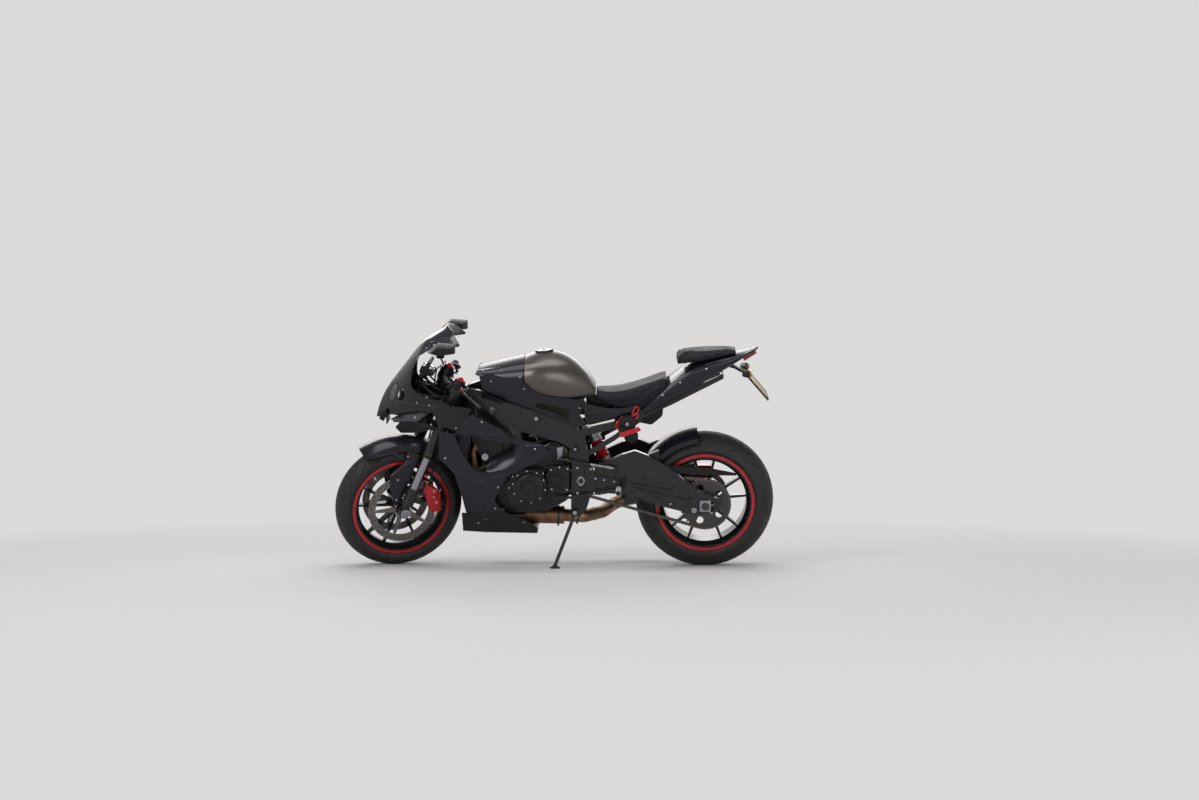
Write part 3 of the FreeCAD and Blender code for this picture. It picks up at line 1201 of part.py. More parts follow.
def mirror():
    """Left mirror on its stalk from the fairing."""
    inner, outer = V(528, 84, 1071), V(518, 160, 1080)
    base = rod(inner, outer, 13).cut(nose_shell(SCREEN_T))
    base = max(base.Solids, key=lambda solid: solid.CenterOfMass.y)
    stalk = rod(outer - (outer - inner) * 0.1, V(486, 318, 1084), 8)
    wires = []
    for y, wide, high in ((270, 40, 34), (318, 60, 52), (400, 44, 36)):
        centre = V(466, y, 1088)
        wires.append(loop_wire([centre + V(wide, 0, -high * 0.2), centre + V(wide * 0.3, 0, high / 2),
                                centre + V(-wide, 0, high * 0.4), centre + V(-wide, 0, -high * 0.3),
                                centre + V(wide * 0.2, 0, -high / 2)]))
    shell = skin(wires)
    return fused([stalk, base, shell])


def instrument_panel():
    rows = [(604, 914, 4), (552, 986, 6), (538, 976, 6), (584, 913.2, 4)]
    return slab(rows, -76, 76)


def fairing_stay():
    """Frame from the head tube that carries the nose and instruments."""
    root = HEAD - UP_FORK * 100 + FORWARD_FORK * (HEAD_TUBE_R - 6)
    knee, top = V(622, 0, 800), V(586, 0, 926)
    nose = V(662, 0, 866)
    shapes = [rod(root, knee, 10), Part.makeSphere(10, knee), rod(knee, top, 10), rod(knee, nose, 9),
              rod(nose - LEFT * 190, nose + LEFT * 190, 8)]
    whole = fused(shapes).cut(head_tube()).cut(nose_shell(PANEL_T)).cut(instrument_panel())
    return max(whole.Solids, key=lambda solid: solid.Volume)


# Assembly
def stance_of_machine(steer):
    """Placement that leans the machine and sets both tyres' lowest points on the ground."""
    rear = tyre_outline(REAR_TYRE_R, REAR_TYRE_HALF_W, REAR_CROWN_R, REAR_RIM_HALF_W)
    front = tyre_outline(FRONT_TYRE_R, FRONT_TYRE_HALF_W, FRONT_CROWN_R, FRONT_RIM_HALF_W)
    wheels = ((REAR_AXLE, LEFT, rear), (steer.multVec(FRONT_AXLE), steer.Rotation.multVec(LEFT), front))
    lean = FreeCAD.Rotation(V(1, 0, 0), -LEAN_DEG)

    def lowest(pitch, wheel):
        centre, axle, rows = wheel
        turn = FreeCAD.Rotation(V(0, 1, 0), pitch).multiply(lean)
        level = turn.multVec(axle).z
        flat = math.sqrt(1 - level * level)
        return turn.multVec(centre).z + min(y * level - radius * flat for y, radius in rows)

    low, high = -5.0, 5.0
    for _ in range(60):
        pitch = (low + high) / 2
        if lowest(pitch, wheels[1]) > lowest(pitch, wheels[0]):
            low = pitch
        else:
            high = pitch
    turn = FreeCAD.Rotation(V(0, 1, 0), pitch).multiply(lean)
    return FreeCAD.Placement(V(0, 0, -lowest(pitch, wheels[0])), turn)


def steering():
    turn = FreeCAD.Rotation(UP_FORK, STEER_LOCK_DEG)
    return FreeCAD.Placement(HEAD - turn.multVec(HEAD), turn)


def fork_nodes():
    return {
        "fork_tubes": pair(fork_tube()),
        "fork_sliders": pair(fork_slider()),
        "fork_feet": pair(fork_foot()),
        "top_yoke": yoke(FORK_LENGTH, (1.1, 1.1)),
        "bottom_yoke": yoke(FORK_LENGTH - LOW_YOKE_DROP, (1.1, 1.1)),
        "steering_stem": stem(),
        "front_axle": front_axle(),
        "front_mudguard": front_mudguard(),
        "front_calipers": pair(front_caliper()),
        "clip_ons": pair(clip_on()),
        "brake_hoses": brake_hoses(),
        "brake_reservoir": mirrored(reservoir()),
    }


def front_wheel_nodes():
    disc = brake_disc(FRONT_AXLE, FRONT_DISC_Y, FRONT_DISC_R, FRONT_DISC_BAND, FRONT_HUB_HALF_W, 5)
    return {
        "front_rim": rim(FRONT_AXLE, FRONT_RIM_HALF_W, FRONT_HUB_HALF_W, 22),
        "front_tyre": tyre(FRONT_AXLE, FRONT_TYRE_R, FRONT_TYRE_HALF_W, FRONT_CROWN_R, FRONT_RIM_HALF_W),
        "front_discs": pair(disc),
    }


def rear_wheel_nodes():
    return {
        "rear_rim": rim(REAR_AXLE, REAR_RIM_HALF_W, REAR_HUB_HALF_W, 26),
        "rear_tyre": tyre(REAR_AXLE, REAR_TYRE_R, REAR_TYRE_HALF_W, REAR_CROWN_R, REAR_RIM_HALF_W),
        "rear_sprocket": rear_sprocket(),
        "rear_disc": brake_disc(REAR_AXLE, REAR_DISC_Y, REAR_DISC_R, 26, -REAR_HUB_HALF_W, 5),
    }


def root_nodes():
    shell = nose_shell(PANEL_T)
    nodes = {
        "frame": frame(),
        "pivot_axle": pivot_axle(),
        "subframe": subframe(),
        "hanging_lock": hanging_lock(),
        "engine_block": engine_block(),
        "engine_covers": Part.makeCompound([
            round_cover(GENERATOR_X, GENERATOR_Z, GENERATOR_Y, GENERATOR_R, 1),
            round_cover(GENERATOR_X - 60, GENERATOR_Z + 6, GENERATOR_Y - 6, GENERATOR_R + 6, -1)]),
        "threaded_bosses": threaded_bosses(),
        "sprocket_cover": sprocket_cover(),
        "radiator": radiator(),
        "exhaust_pipes": exhaust_pipes(),
        "silencer": silencer(),
        "swingarm": swingarm(),
        "rear_axle": rear_axle(),
        "rear_hugger": rear_hugger(),
        "chain_guard": chain_guard(),
        "chain": chain(),
        "shock_body": shock_body(),
        "shock_spring": shock_spring(),
        "shock_mount": pair(shock_mount()),
        "rear_caliper": rear_caliper(),
        "rearsets": Part.makeCompound([rearset(1), rearset(-1)]),
        "stand_bracket": stand_bracket(),
        "nose_fairing": nose_fairing(shell),
        "lamps": lamps(shell),
        "windscreen": windscreen(),
        "side_fairing_left": side_fairing(),
        "side_fairing_right": mirrored(side_fairing()),
        "belly_pan": belly_pan(),
        "chin_ducts": pair(chin_ducts()),
        "fuel_tank": fuel_tank(),
        "airbox_cover": airbox_cover(),
        "frame_trims": pair(frame_trims()),
        "rider_seat": rider_seat(),
        "pillion_seat": pillion_seat(),
        "tail_fairing": tail_fairing(),
        "undertail": undertail(),
        "plate_hanger": plate_hanger(),
        "mirrors": pair(mirror()),
        "instrument_panel": instrument_panel(),
        "fairing_stay": fairing_stay(),
    }
    return nodes


def build():
    """All nodes by body, in the finished frame, with the placements that took them there."""
    steer = steering()
    stance = stance_of_machine(steer)
    bodies = {
        "root": root_nodes(),
        "fork": fork_nodes(),
        "front_wheel": front_wheel_nodes(),
        "rear_wheel": rear_wheel_nodes(),
        "side_stand": {"side_stand": side_stand(stance)},
    }
    outline = FreeCAD.BoundBox()
    for body, nodes in bodies.items():
        for shape in nodes.values():
            if body in ("fork", "front_wheel"):
                shape.Placement = steer.multiply(shape.Placement)
            shape.Placement = stance.multiply(shape.Placement)
            outline.add(shape.optimalBoundingBox(False, False))
    home = V(-outline.Center.x, -outline.Center.y, 0)
    for nodes in bodies.values():
        for shape in nodes.values():
            shape.translate(home)
    stance = FreeCAD.Placement(home, FreeCAD.Rotation()).multiply(stance)
    return bodies, steer, stance


def main():
    os.makedirs("parts", exist_ok=True)
    bodies, steer, stance = build()
    for nodes in bodies.values():
        for name, shape in nodes.items():
            shape.exportStep(os.path.join("parts", name + ".step"))


if __name__ == "__main__":
    main()
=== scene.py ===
# Looks of a faired sport bike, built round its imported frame. Lengths are metres. Pieces are drawn
# with the machine upright, x forward, y to its left, z up, and are then set where the frame stands.
import json
import math

import bpy
from mathutils import Matrix, Vector


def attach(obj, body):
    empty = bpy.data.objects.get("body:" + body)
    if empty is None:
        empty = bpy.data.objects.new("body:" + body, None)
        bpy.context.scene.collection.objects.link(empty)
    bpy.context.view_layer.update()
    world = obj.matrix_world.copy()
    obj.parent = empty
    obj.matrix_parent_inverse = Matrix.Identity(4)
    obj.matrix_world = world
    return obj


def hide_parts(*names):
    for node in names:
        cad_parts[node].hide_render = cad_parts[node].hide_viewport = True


bl_info = {
    "name": "Sport Bike Finish",
    "version": (1, 0, 0),
    "blender": (4, 5, 0),
    "location": "View3D > Sidebar > Sport Bike",
    "description": "Finishes a faired sport bike round its rigid frame",
    "category": "Object",
}

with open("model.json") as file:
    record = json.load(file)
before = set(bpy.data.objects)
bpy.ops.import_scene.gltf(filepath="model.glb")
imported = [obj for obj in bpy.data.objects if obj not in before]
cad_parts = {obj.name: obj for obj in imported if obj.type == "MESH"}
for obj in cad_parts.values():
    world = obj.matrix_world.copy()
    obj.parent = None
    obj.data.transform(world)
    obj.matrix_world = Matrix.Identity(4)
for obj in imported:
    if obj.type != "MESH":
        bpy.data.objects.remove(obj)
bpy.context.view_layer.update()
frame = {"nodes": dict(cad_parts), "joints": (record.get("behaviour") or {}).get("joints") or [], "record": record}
NODES = frame["nodes"]
JOINTS = {joint["name"]: joint for joint in frame["joints"]}

# Chassis points of the upright machine
REAR_AXLE = Vector((-0.716, 0, 0.32))
HEAD = Vector((0.429, 0, 0.86))
RAKE = math.radians(24)
LEAN = math.radians(11.5)
STEER = math.radians(21)
UP_FORK = Vector((-math.sin(RAKE), 0, math.cos(RAKE)))
FORWARD_FORK = Vector((math.cos(RAKE), 0, math.sin(RAKE)))
LEFT = Vector((0, 1, 0))
FORK_OFFSET, FORK_LENGTH = 0.0343, 0.6283
FRONT_AXLE = HEAD + FORWARD_FORK * FORK_OFFSET - UP_FORK * FORK_LENGTH


def axes(along, across):
    """Turn whose columns are two unit vectors and their cross product."""
    return Matrix((along, across, along.cross(across))).transposed()


def stand_matrix():
    """Takes upright points to where the leaning machine stands, from the frame's own joints."""
    left = Vector(JOINTS["rear_wheel_spin"]["axis"]).normalized()
    low = Vector(JOINTS["rear_wheel_spin"]["pos_m"])
    high = Vector(JOINTS["steering"]["pos_m"])
    drawn = (HEAD - REAR_AXLE).normalized()
    real = (high - low).normalized()
    turn = axes(real, left) @ axes(drawn, LEFT).inverted()
    return Matrix.Translation(low - turn @ REAR_AXLE) @ turn.to_4x4()


STANDING = stand_matrix()
STEERED = (STANDING @ Matrix.Translation(HEAD) @ Matrix.Rotation(STEER, 4, UP_FORK)
           @ Matrix.Translation(-HEAD))
PLACES = {"root": STANDING, "rear_wheel": STANDING, "fork": STEERED, "front_wheel": STEERED,
          "side_stand": STANDING}


# Shader maths
class Value:
    """A shader socket on which arithmetic adds Math nodes."""

    def __init__(self, paint, socket):
        self.paint, self.socket = paint, socket

    def maths(self, operation, other=None, swap=False):
        """One Math node on this value and another."""
        pair = (other, self) if swap else (self, other)
        inputs = {i: v for i, v in enumerate(pair) if v is not None}
        return self.paint.add("ShaderNodeMath", {"operation": operation}, inputs)

    def __add__(self, other):
        return self.maths("ADD", other)

    __radd__ = __add__

    def __mul__(self, other):
        return self.maths("MULTIPLY", other)

    __rmul__ = __mul__

    def __sub__(self, other):
        return self.maths("SUBTRACT", other)

    def __rsub__(self, other):
        return self.maths("SUBTRACT", other, swap=True)

    def __truediv__(self, other):
        return self.maths("DIVIDE", other)

    def __abs__(self):
        return self.maths("ABSOLUTE")

    def above(self, limit):
        return self.maths("GREATER_THAN", limit)

    def fraction(self):
        return self.maths("FRACT")

    def sine(self):
        return self.maths("SINE")

    def most(self, other):
        return self.maths("MAXIMUM", other)

    def ramp(self, low, high, to_low=0.0, to_high=1.0):
        """Linear from one range to another, held at its ends."""
        inputs = {"Value": self, "From Min": low, "From Max": high, "To Min": to_low, "To Max": to_high}
        return self.paint.add("ShaderNodeMapRange", {"clamp": True}, inputs, "Result")


# Sockets of a Mix node that mixes colours, and the span that a noise mostly fills
MIX_FACTOR, MIX_LOW, MIX_HIGH, MIX_RESULT = 0, 6, 7, 2
NOISE_SPAN = (0.3, 0.7)


class Finish:
    """A material on a Principled shader, with the nodes that feed it."""

    def __init__(self, name, color, roughness, metallic=0.0, **more):
        self.material = bpy.data.materials.new(name)
        self.material.use_nodes = True
        self.tree = self.material.node_tree
        self.shader = self.tree.nodes["Principled BSDF"]
        self.height = None
        self.set("Base Color", (*color, 1.0))
        self.set("Roughness", roughness)
        self.set("Metallic", metallic)
        for socket, value in more.items():
            self.set(socket.replace("_", " "), value)

    def feed(self, target, value):
        """Links a value to a socket, or sets a number or colour on it."""
        if isinstance(value, Value):
            self.tree.links.new(value.socket, target)
        else:
            target.default_value = value

    def set(self, socket, value):
        """Feeds one socket of the shader."""
        self.feed(self.shader.inputs[socket], value)

    def add(self, kind, settings=None, inputs=None, output=0):
        """Adds a node of one type, with its settings and what its sockets get."""
        node = self.tree.nodes.new(kind)
        for key, value in (settings or {}).items():
            if key == "stops":
                fill_ramp(node.color_ramp, value)
            else:
                setattr(node, key, value)
        for key, value in (inputs or {}).items():
            self.feed(node.inputs[key], value)
        return Value(self, node.outputs[output])

    def place(self):
        """Point of the surface in the piece's own space."""
        return self.add("ShaderNodeTexCoord", output="Object")

    def noise(self, scale, detail=3.0, vector=None, rough=0.55):
        inputs = {"Vector": vector or self.place(), "Scale": scale, "Detail": detail, "Roughness": rough}
        return self.add("ShaderNodeTexNoise", None, inputs)

    def cells(self, scale, vector=None, feature="F1", output="Distance"):
        inputs = {"Vector": vector or self.place(), "Scale": scale}
        return self.add("ShaderNodeTexVoronoi", {"feature": feature}, inputs, output)

    def blend(self, factor, low, high):
        """Colour between two others."""
        inputs = {MIX_FACTOR: factor, MIX_LOW: rgba(low), MIX_HIGH: rgba(high)}
        return self.add("ShaderNodeMix", {"data_type": "RGBA"}, inputs, MIX_RESULT)

    def wear(self, noise, smooth, rough):
        """Lets the roughness follow a noise between two levels."""
        self.set("Roughness", noise.ramp(*NOISE_SPAN, smooth, rough))

    def bump(self, height, depth, strength=1.0):
        """Adds relief of this many metres over the relief there is."""
        inputs = {"Height": height, "Distance": depth, "Strength": strength}
        if self.height is not None:
            inputs["Normal"] = self.height
        self.height = self.add("ShaderNodeBump", None, inputs)
        self.set("Normal", self.height)


def rgba(color):
    """Colour as a socket takes it."""
    return color if isinstance(color, Value) else (*color[:3], 1.0)


def tint(color, gain, lift=0.0):
    """Colour made lighter or darker, held at white."""
    return tuple(min(1.0, c * gain + lift) for c in color)


def fill_ramp(ramp, stops):
    """Gives a colour ramp these (place, colour) stops."""
    while len(ramp.elements) < len(stops):
        ramp.elements.new(0.5)
    for element, (place, color) in zip(ramp.elements, stops):
        element.position = place
        element.color = (*color, 1.0)


# Finishes
def painted(name, color, roughness, flake=0.25, coat=0.3, metallic=0.0):
    """Sprayed paint: fine metallic flake, a little cloudiness and orange peel."""
    f = Finish(name, color, roughness, metallic, Coat_Weight=coat, Coat_Roughness=0.12,
               Specular_IOR_Level=0.25)
    speck = f.cells(2600.0, output="Color")
    grain = f.add("ShaderNodeSeparateColor", None, {"Color": speck}, "Red")
    cloud = f.noise(7.0, 4.0)
    f.set("Base Color", f.blend(grain * 0.5 + cloud * 0.5, tint(color, 1 - flake * 0.6),
                                tint(color, 1 + flake, flake * 0.012)))
    f.wear(cloud, roughness * 0.88, roughness * 1.14)
    f.bump(f.noise(420.0, 2.0), 0.00006, 0.5)
    return f


def cast(name, color, roughness, metallic=0.0, grain=900.0, depth=0.00012, coat=0.0):
    """Cast or powder-coated surface with a fine grain and cloudy patches of tone and roughness."""
    f = Finish(name, color, roughness, metallic, Coat_Weight=coat, Specular_IOR_Level=0.3)
    cloud = f.noise(18.0, 4.0)
    f.set("Base Color", f.blend(cloud, tint(color, 0.78), tint(color, 1.25, 0.006)))
    f.wear(cloud, roughness * 0.85, min(1.0, roughness * 1.15))
    f.bump(f.noise(grain, 3.0), depth, 0.7)
    return f


def turned(name, color, roughness, streak=(700.0, 30.0, 700.0)):
    """Machined metal with fine tool marks."""
    f = Finish(name, color, roughness, 1.0)
    stretched = f.add("ShaderNodeMapping", None, {"Vector": f.place(), "Scale": streak})
    marks = f.noise(1.0, 2.0, stretched)
    f.set("Base Color", f.blend(marks, tint(color, 0.8), tint(color, 1.15)))
    f.wear(marks, roughness * 0.75, roughness * 1.3)
    f.bump(marks, 0.00003, 0.4)
    return f


def heated(name):
    """Exhaust steel, stained brown and straw by heat."""
    f = Finish(name, (0.2, 0.12, 0.08), 0.42, 1.0)
    stain = f.noise(14.0, 5.0)
    fine = f.noise(160.0, 4.0)
    stops = [(0.25, (0.11, 0.06, 0.04)), (0.45, (0.24, 0.13, 0.075)), (0.62, (0.34, 0.24, 0.16)),
             (0.8, (0.18, 0.12, 0.12))]
    tone = f.add("ShaderNodeValToRGB", {"stops": stops}, {"Fac": stain * 0.8 + fine * 0.2}, "Color")
    f.set("Base Color", tone)
    f.wear(fine, 0.3, 0.62)
    f.bump(fine, 0.0002, 0.5)
    return f


def vinyl(name, color):
    """Seat cover with a fine leather grain."""
    f = Finish(name, color, 0.46, 0.0, Sheen_Weight=0.03, Sheen_Roughness=0.5, Specular_IOR_Level=0.16)
    crease = f.cells(420.0, feature="DISTANCE_TO_EDGE").ramp(0.0, 0.12)
    cloud = f.noise(9.0, 3.0)
    f.set("Base Color", f.blend(crease * 0.6 + cloud * 0.4, tint(color, 0.65), tint(color, 1.3)))
    f.wear(cloud, 0.42, 0.6)
    f.bump(crease, 0.00018, 0.8)
    return f


# Tread: blocks round a tyre, and grooves by slant, shift along a block, inner and outer reach, width
TREAD_BLOCKS = 18
TREAD_GROOVES = ((0.9, 0.0, 0.18, 0.94, 0.0042), (1.5, 0.42, 0.42, 0.99, 0.0034),
                 (0.55, 0.72, 0.05, 0.5, 0.0036))


def tyre_rubber(name, around, half_width):
    """Tyre rubber read from the tyre's own map: u runs round it and v across it, both in metres."""
    f = Finish(name, (0.012, 0.012, 0.013), 0.62)
    uv = f.add("ShaderNodeUVMap", {"uv_map": "tread"})
    u = f.add("ShaderNodeSeparateXYZ", None, {"Vector": uv}, "X")
    v = f.add("ShaderNodeSeparateXYZ", None, {"Vector": uv}, "Y")
    side = v.maths("SIGN")
    out = abs(v)
    pitch = around / TREAD_BLOCKS
    groove = None
    for slant, shift, low, high, width in TREAD_GROOVES:
        bend = out * slant + out * out * (slant * 7.0)
        lane = ((u + bend + side * (pitch * 0.25)) / pitch + shift).fraction()
        near = abs(lane - 0.5) * pitch
        line = near.ramp(width * 0.5, width * 0.8, 1.0, 0.0)
        span = (out.ramp(half_width * low, half_width * low + 0.004)
                * out.ramp(half_width * high - 0.006, half_width * high, 1.0, 0.0))
        cut = line * span
        groove = cut if groove is None else groove.most(cut)
    dust = f.noise(24.0, 4.0)
    fine = f.noise(900.0, 2.0)
    worn = f.blend(dust, (0.009, 0.009, 0.0095), (0.019, 0.0185, 0.0185))
    # The grooves are painted near black, darker than the rubber itself: a painted shade in the recesses
    f.set("Base Color", f.blend(groove, worn, (0.003, 0.003, 0.003)))
    f.wear(dust, 0.52, 0.72)
    f.bump(1.0 - groove, 0.004, 1.0)
    f.bump(fine, 0.0001, 0.6)
    return f


def drilled_steel(name):
    """Brake disc steel, blotched and finely scratched in tone and roughness."""
    f = Finish(name, (0.2, 0.19, 0.18), 0.34, 1.0)
    blotch = f.noise(30.0, 4.0)
    scratch = f.noise(900.0, 2.0)
    f.set("Base Color", f.blend(blotch * 0.6 + scratch * 0.4, (0.13, 0.115, 0.105), (0.27, 0.255, 0.24)))
    f.wear(scratch, 0.26, 0.5)
    f.bump(scratch, 0.00004, 0.5)
    return f


def finned(name, pitch=0.0022):
    """Radiator core: close fins between flat tubes, read from place."""
    f = Finish(name, (0.03, 0.03, 0.033), 0.5, 0.6)
    place = f.place()
    across = f.add("ShaderNodeSeparateXYZ", None, {"Vector": place}, "Y")
    up = f.add("ShaderNodeSeparateXYZ", None, {"Vector": place}, "Z")
    fins = (across * (2 * math.pi / pitch)).sine().ramp(-1.0, 1.0)
    tubes = (up * (2 * math.pi / (pitch * 5))).sine().above(0.6)
    relief = fins.most(tubes)
    # Painted light and shade: the gaps between fins near black, the fin crests and tube faces lighter
    f.set("Base Color", f.blend(relief, (0.008, 0.008, 0.009), (0.06, 0.06, 0.065)))
    f.bump(relief, 0.0012, 0.8)
    return f


def clear_smoke(name, color, alpha):
    """Tinted sheet: dark, glossy and partly see-through."""
    f = Finish(name, color, 0.06, 0.0, IOR=1.49, Coat_Weight=0.6, Coat_Roughness=0.05)
    haze = f.noise(5.0, 3.0)
    f.set("Alpha", haze.ramp(0.2, 0.8, alpha * 0.96, min(1.0, alpha * 1.04)))
    f.wear(haze, 0.05, 0.09)
    f.material.surface_render_method = "BLENDED"
    return f


def plate_sheet(name):
    """Pale yellow sheet of the number plate, a little worn."""
    f = Finish(name, (0.55, 0.45, 0.16), 0.4)
    wear = f.noise(40.0, 4.0)
    f.set("Base Color", f.blend(wear, (0.44, 0.36, 0.13), (0.6, 0.5, 0.2)))
    f.wear(wear, 0.35, 0.55)
    return f


FINISHES = {}


def mix_finishes(colors):
    """All finishes by name."""
    body, tank, red = colors.body[:], colors.tank[:], colors.red[:]
    FINISHES.update({
        "body": painted("satin_charcoal", body, 0.29, 0.3, 0.32, 0.25),
        # Pale grey gloss of the winglet panels; on the body lines its paleness is a painted highlight
        "winglet": painted("winglet_grey_and_line_highlight", (0.045, 0.044, 0.056), 0.2, 0.2, 0.7),
        "body_gloss": painted("gloss_black", (0.005, 0.0036, 0.0038), 0.2, 0.2, 0.35),
        "tank": painted("bronze_grey_satin", tank, 0.34, 0.3, 0.35, 0.65),
        "red": painted("signal_red", red, 0.3, 0.15, 0.5),
        "wheel": painted("wheel_black", (0.007, 0.007, 0.008), 0.26, 0.2, 0.5),
        "frame": cast("frame_black", (0.011, 0.0105, 0.0145), 0.3, 0.0, 1100.0, 0.00005, 0.3),
        "engine": cast("engine_black", (0.007, 0.007, 0.0085), 0.4, 0.0, 800.0, 0.00015, 0.1),
        "plastic": cast("grained_plastic", (0.006, 0.006, 0.007), 0.5, 0.0, 1400.0, 0.0001),
        "swingarm": cast("arm_black", (0.0105, 0.01, 0.0135), 0.26, 0.0, 1300.0, 0.00005, 0.4),
        "alloy": cast("bead_blasted_alloy", (0.42, 0.42, 0.43), 0.4, 0.9, 1500.0, 0.00005),
        "steel": turned("bright_steel", (0.5, 0.5, 0.52), 0.26),
        "silver": turned("silver_tube", (0.33, 0.33, 0.37), 0.22, (900.0, 900.0, 20.0)),
        "dark_steel": turned("dark_steel", (0.09, 0.088, 0.085), 0.4),
        "chain": turned("chain_steel", (0.12, 0.112, 0.104), 0.36),
        "disc": drilled_steel("disc_steel"),
        "exhaust": heated("heat_stained_steel"),
        "seat": vinyl("seat_vinyl", (0.0085, 0.008, 0.0125)),
        "thread": cast("seat_thread", (0.02, 0.02, 0.023), 0.6, 0.0, 3000.0, 0.00005),
        "grip": cast("grip_rubber", (0.009, 0.009, 0.009), 0.7, 0.0, 2000.0, 0.0002),
        "hose": cast("hose_rubber", (0.008, 0.008, 0.009), 0.5, 0.0, 1600.0, 0.00012),
        "core": finned("radiator_core"),
        "smoke": clear_smoke("smoke_screen", (0.02, 0.02, 0.026), 0.82),
        "lens": clear_smoke("lamp_lens", (0.05, 0.05, 0.055), 0.55),
        "red_lens": clear_smoke("tail_lens", (0.35, 0.01, 0.01), 0.9),
        "amber_lens": clear_smoke("indicator_lens", (0.5, 0.16, 0.01), 0.9),
        "mirror": turned("mirror_glass", (0.75, 0.76, 0.78), 0.04),
        "plate": plate_sheet("number_plate"),
    })


# Modelling
MM = 0.001
# Points closer than this are merged, in metres, and sharper edges than this stay sharp, in degrees
DOUBLES, CREASE = 0.00002, 32


def mm(x, y, z):
    """Point of the upright machine, from millimetres."""
    return Vector((x, y, z)) * MM


def spoke(turn):
    """Unit vector square to the axles, at an angle from forwards."""
    return Vector((math.cos(turn), 0, math.sin(turn)))


def choose(*pieces):
    """Selects these pieces alone, the first one active."""
    for other in bpy.context.selected_objects:
        other.select_set(False)
    for piece in pieces:
        piece.select_set(True)
    bpy.context.view_layer.objects.active = pieces[0]


def edit(piece, select=None):
    """Opens one piece in edit mode, with all or nothing selected where that is said."""
    choose(piece)
    bpy.ops.object.mode_set(mode="EDIT")
    if select:
        bpy.ops.mesh.select_all(action=select)


def leave_edit():
    """Goes back to object mode."""
    bpy.ops.object.mode_set(mode="OBJECT")


def apply_all(piece):
    """Applies the piece's modifiers in turn."""
    choose(piece)
    for modifier in list(piece.modifiers):
        bpy.ops.object.modifier_apply(modifier=modifier.name)


def soften(piece, width, segments=2, degrees=30):
    """Bevels the piece's sharp edges."""
    bevel = piece.modifiers.new("soft_edges", "BEVEL")
    bevel.width, bevel.segments = width, segments
    bevel.limit_method, bevel.angle_limit = "ANGLE", math.radians(degrees)
    bevel.harden_normals = False
    apply_all(piece)
    return piece


def outward(piece):
    """Merges doubles and turns the faces outwards."""
    edit(piece, "SELECT")
    bpy.ops.mesh.remove_doubles(threshold=DOUBLES)
    bpy.ops.mesh.normals_make_consistent(inside=False)
    leave_edit()
    return piece


def slab(corners, push, rim=0.0):
    """Flat piece through corner points, thickened along a vector."""
    bpy.ops.mesh.primitive_circle_add(vertices=len(corners), radius=1.0, fill_type="NGON")
    piece = bpy.context.object
    for vertex, corner in zip(piece.data.vertices, corners):
        vertex.co = corner
    edit(piece, "SELECT")
    bpy.ops.mesh.extrude_region_move(TRANSFORM_OT_translate={"value": push})
    leave_edit()
    outward(piece)
    return soften(piece, rim) if rim > 0 else piece


def rod(start, stop, radius, sides=24, rim=0.0, stop_radius=None):
    """Round bar or cone between two points, with softened rims."""
    along = stop - start
    turn = along.to_track_quat("Z", "Y").to_euler()
    bpy.ops.mesh.primitive_cone_add(vertices=sides, radius1=radius, depth=along.length,
                                    radius2=radius if stop_radius is None else stop_radius,
                                    location=(start + stop) / 2, rotation=turn)
    piece = bpy.context.object
    return soften(piece, rim) if rim > 0 else piece


def plate(outline, y_low, y_high, rim=0.0):
    """Flat piece cut to an (x, z) outline in millimetres, between two sideways places."""
    return slab([mm(x, y_low, z) for x, z in outline], mm(0, y_high - y_low, 0), rim)


def plates(outline, y_in, y_out, rim=0.0):
    """The same plate on both sides of the machine."""
    return [plate(outline, side * y_in, side * y_out, rim) for side in (1, -1)]


def block(middle, turn, sizes, rim, segments=2):
    """Softened block of these sizes at a turned place."""
    bpy.ops.mesh.primitive_cube_add(size=1)
    piece = bpy.context.object
    piece.data.transform(Matrix.Translation(middle) @ turn.to_4x4() @ Matrix.Diagonal((*sizes, 1)))
    return soften(piece, rim, segments)


def spun(section, centre, steps, axis=LEFT, closed=True):
    """Turned piece from a section of (along the axis, radius) rows."""
    bpy.ops.mesh.primitive_circle_add(vertices=len(section), radius=1.0, fill_type="NOTHING")
    piece = bpy.context.object
    across = axis.orthogonal().normalized()
    for vertex, (along, radius) in zip(piece.data.vertices, section):
        vertex.co = centre + axis * along + across * radius
    edit(piece)
    if not closed:
        bpy.ops.mesh.select_all(action="DESELECT")
        leave_edit()
        last = len(section) - 1
        for line in piece.data.edges:
            line.select = set(line.vertices) == {0, last}
        edit(piece)
        bpy.ops.mesh.delete(type="EDGE_FACE")
    bpy.ops.mesh.select_all(action="SELECT")
    bpy.ops.mesh.spin(steps=steps, angle=2 * math.pi, center=centre, axis=axis)
    leave_edit()
    return outward(piece)


def hose(points, radius, resolution=8):
    """Flexible line along smooth points."""
    bpy.ops.curve.primitive_nurbs_path_add()
    piece = bpy.context.object
    piece.data.splines.clear()
    line = piece.data.splines.new("NURBS")
    line.points.add(len(points) - 1)
    for target, point in zip(line.points, points):
        target.co = (*point, 1.0)
    line.order_u = 3
    line.use_endpoint_u = True
    line.resolution_u = resolution
    piece.data.bevel_depth = radius
    piece.data.bevel_resolution = 3
    piece.data.use_fill_caps = True
    choose(piece)
    bpy.ops.object.convert(target="MESH")
    return bpy.context.object


def pipe(line, radius, side=1):
    """Hose through (x, y, z) places in millimetres, on one side of the machine."""
    return hose([mm(x, side * y, z) for x, y, z in line], radius)


def joined(pieces):
    """Joins pieces into the first of them."""
    choose(*pieces)
    if len(pieces) > 1:
        bpy.ops.object.join()
    return bpy.context.object


def copied(piece, matrix):
    """Copy with its own mesh, moved by a matrix."""
    twin = piece.copy()
    twin.data = piece.data.copy()
    bpy.context.collection.objects.link(twin)
    twin.matrix_world = matrix @ piece.matrix_world
    return twin


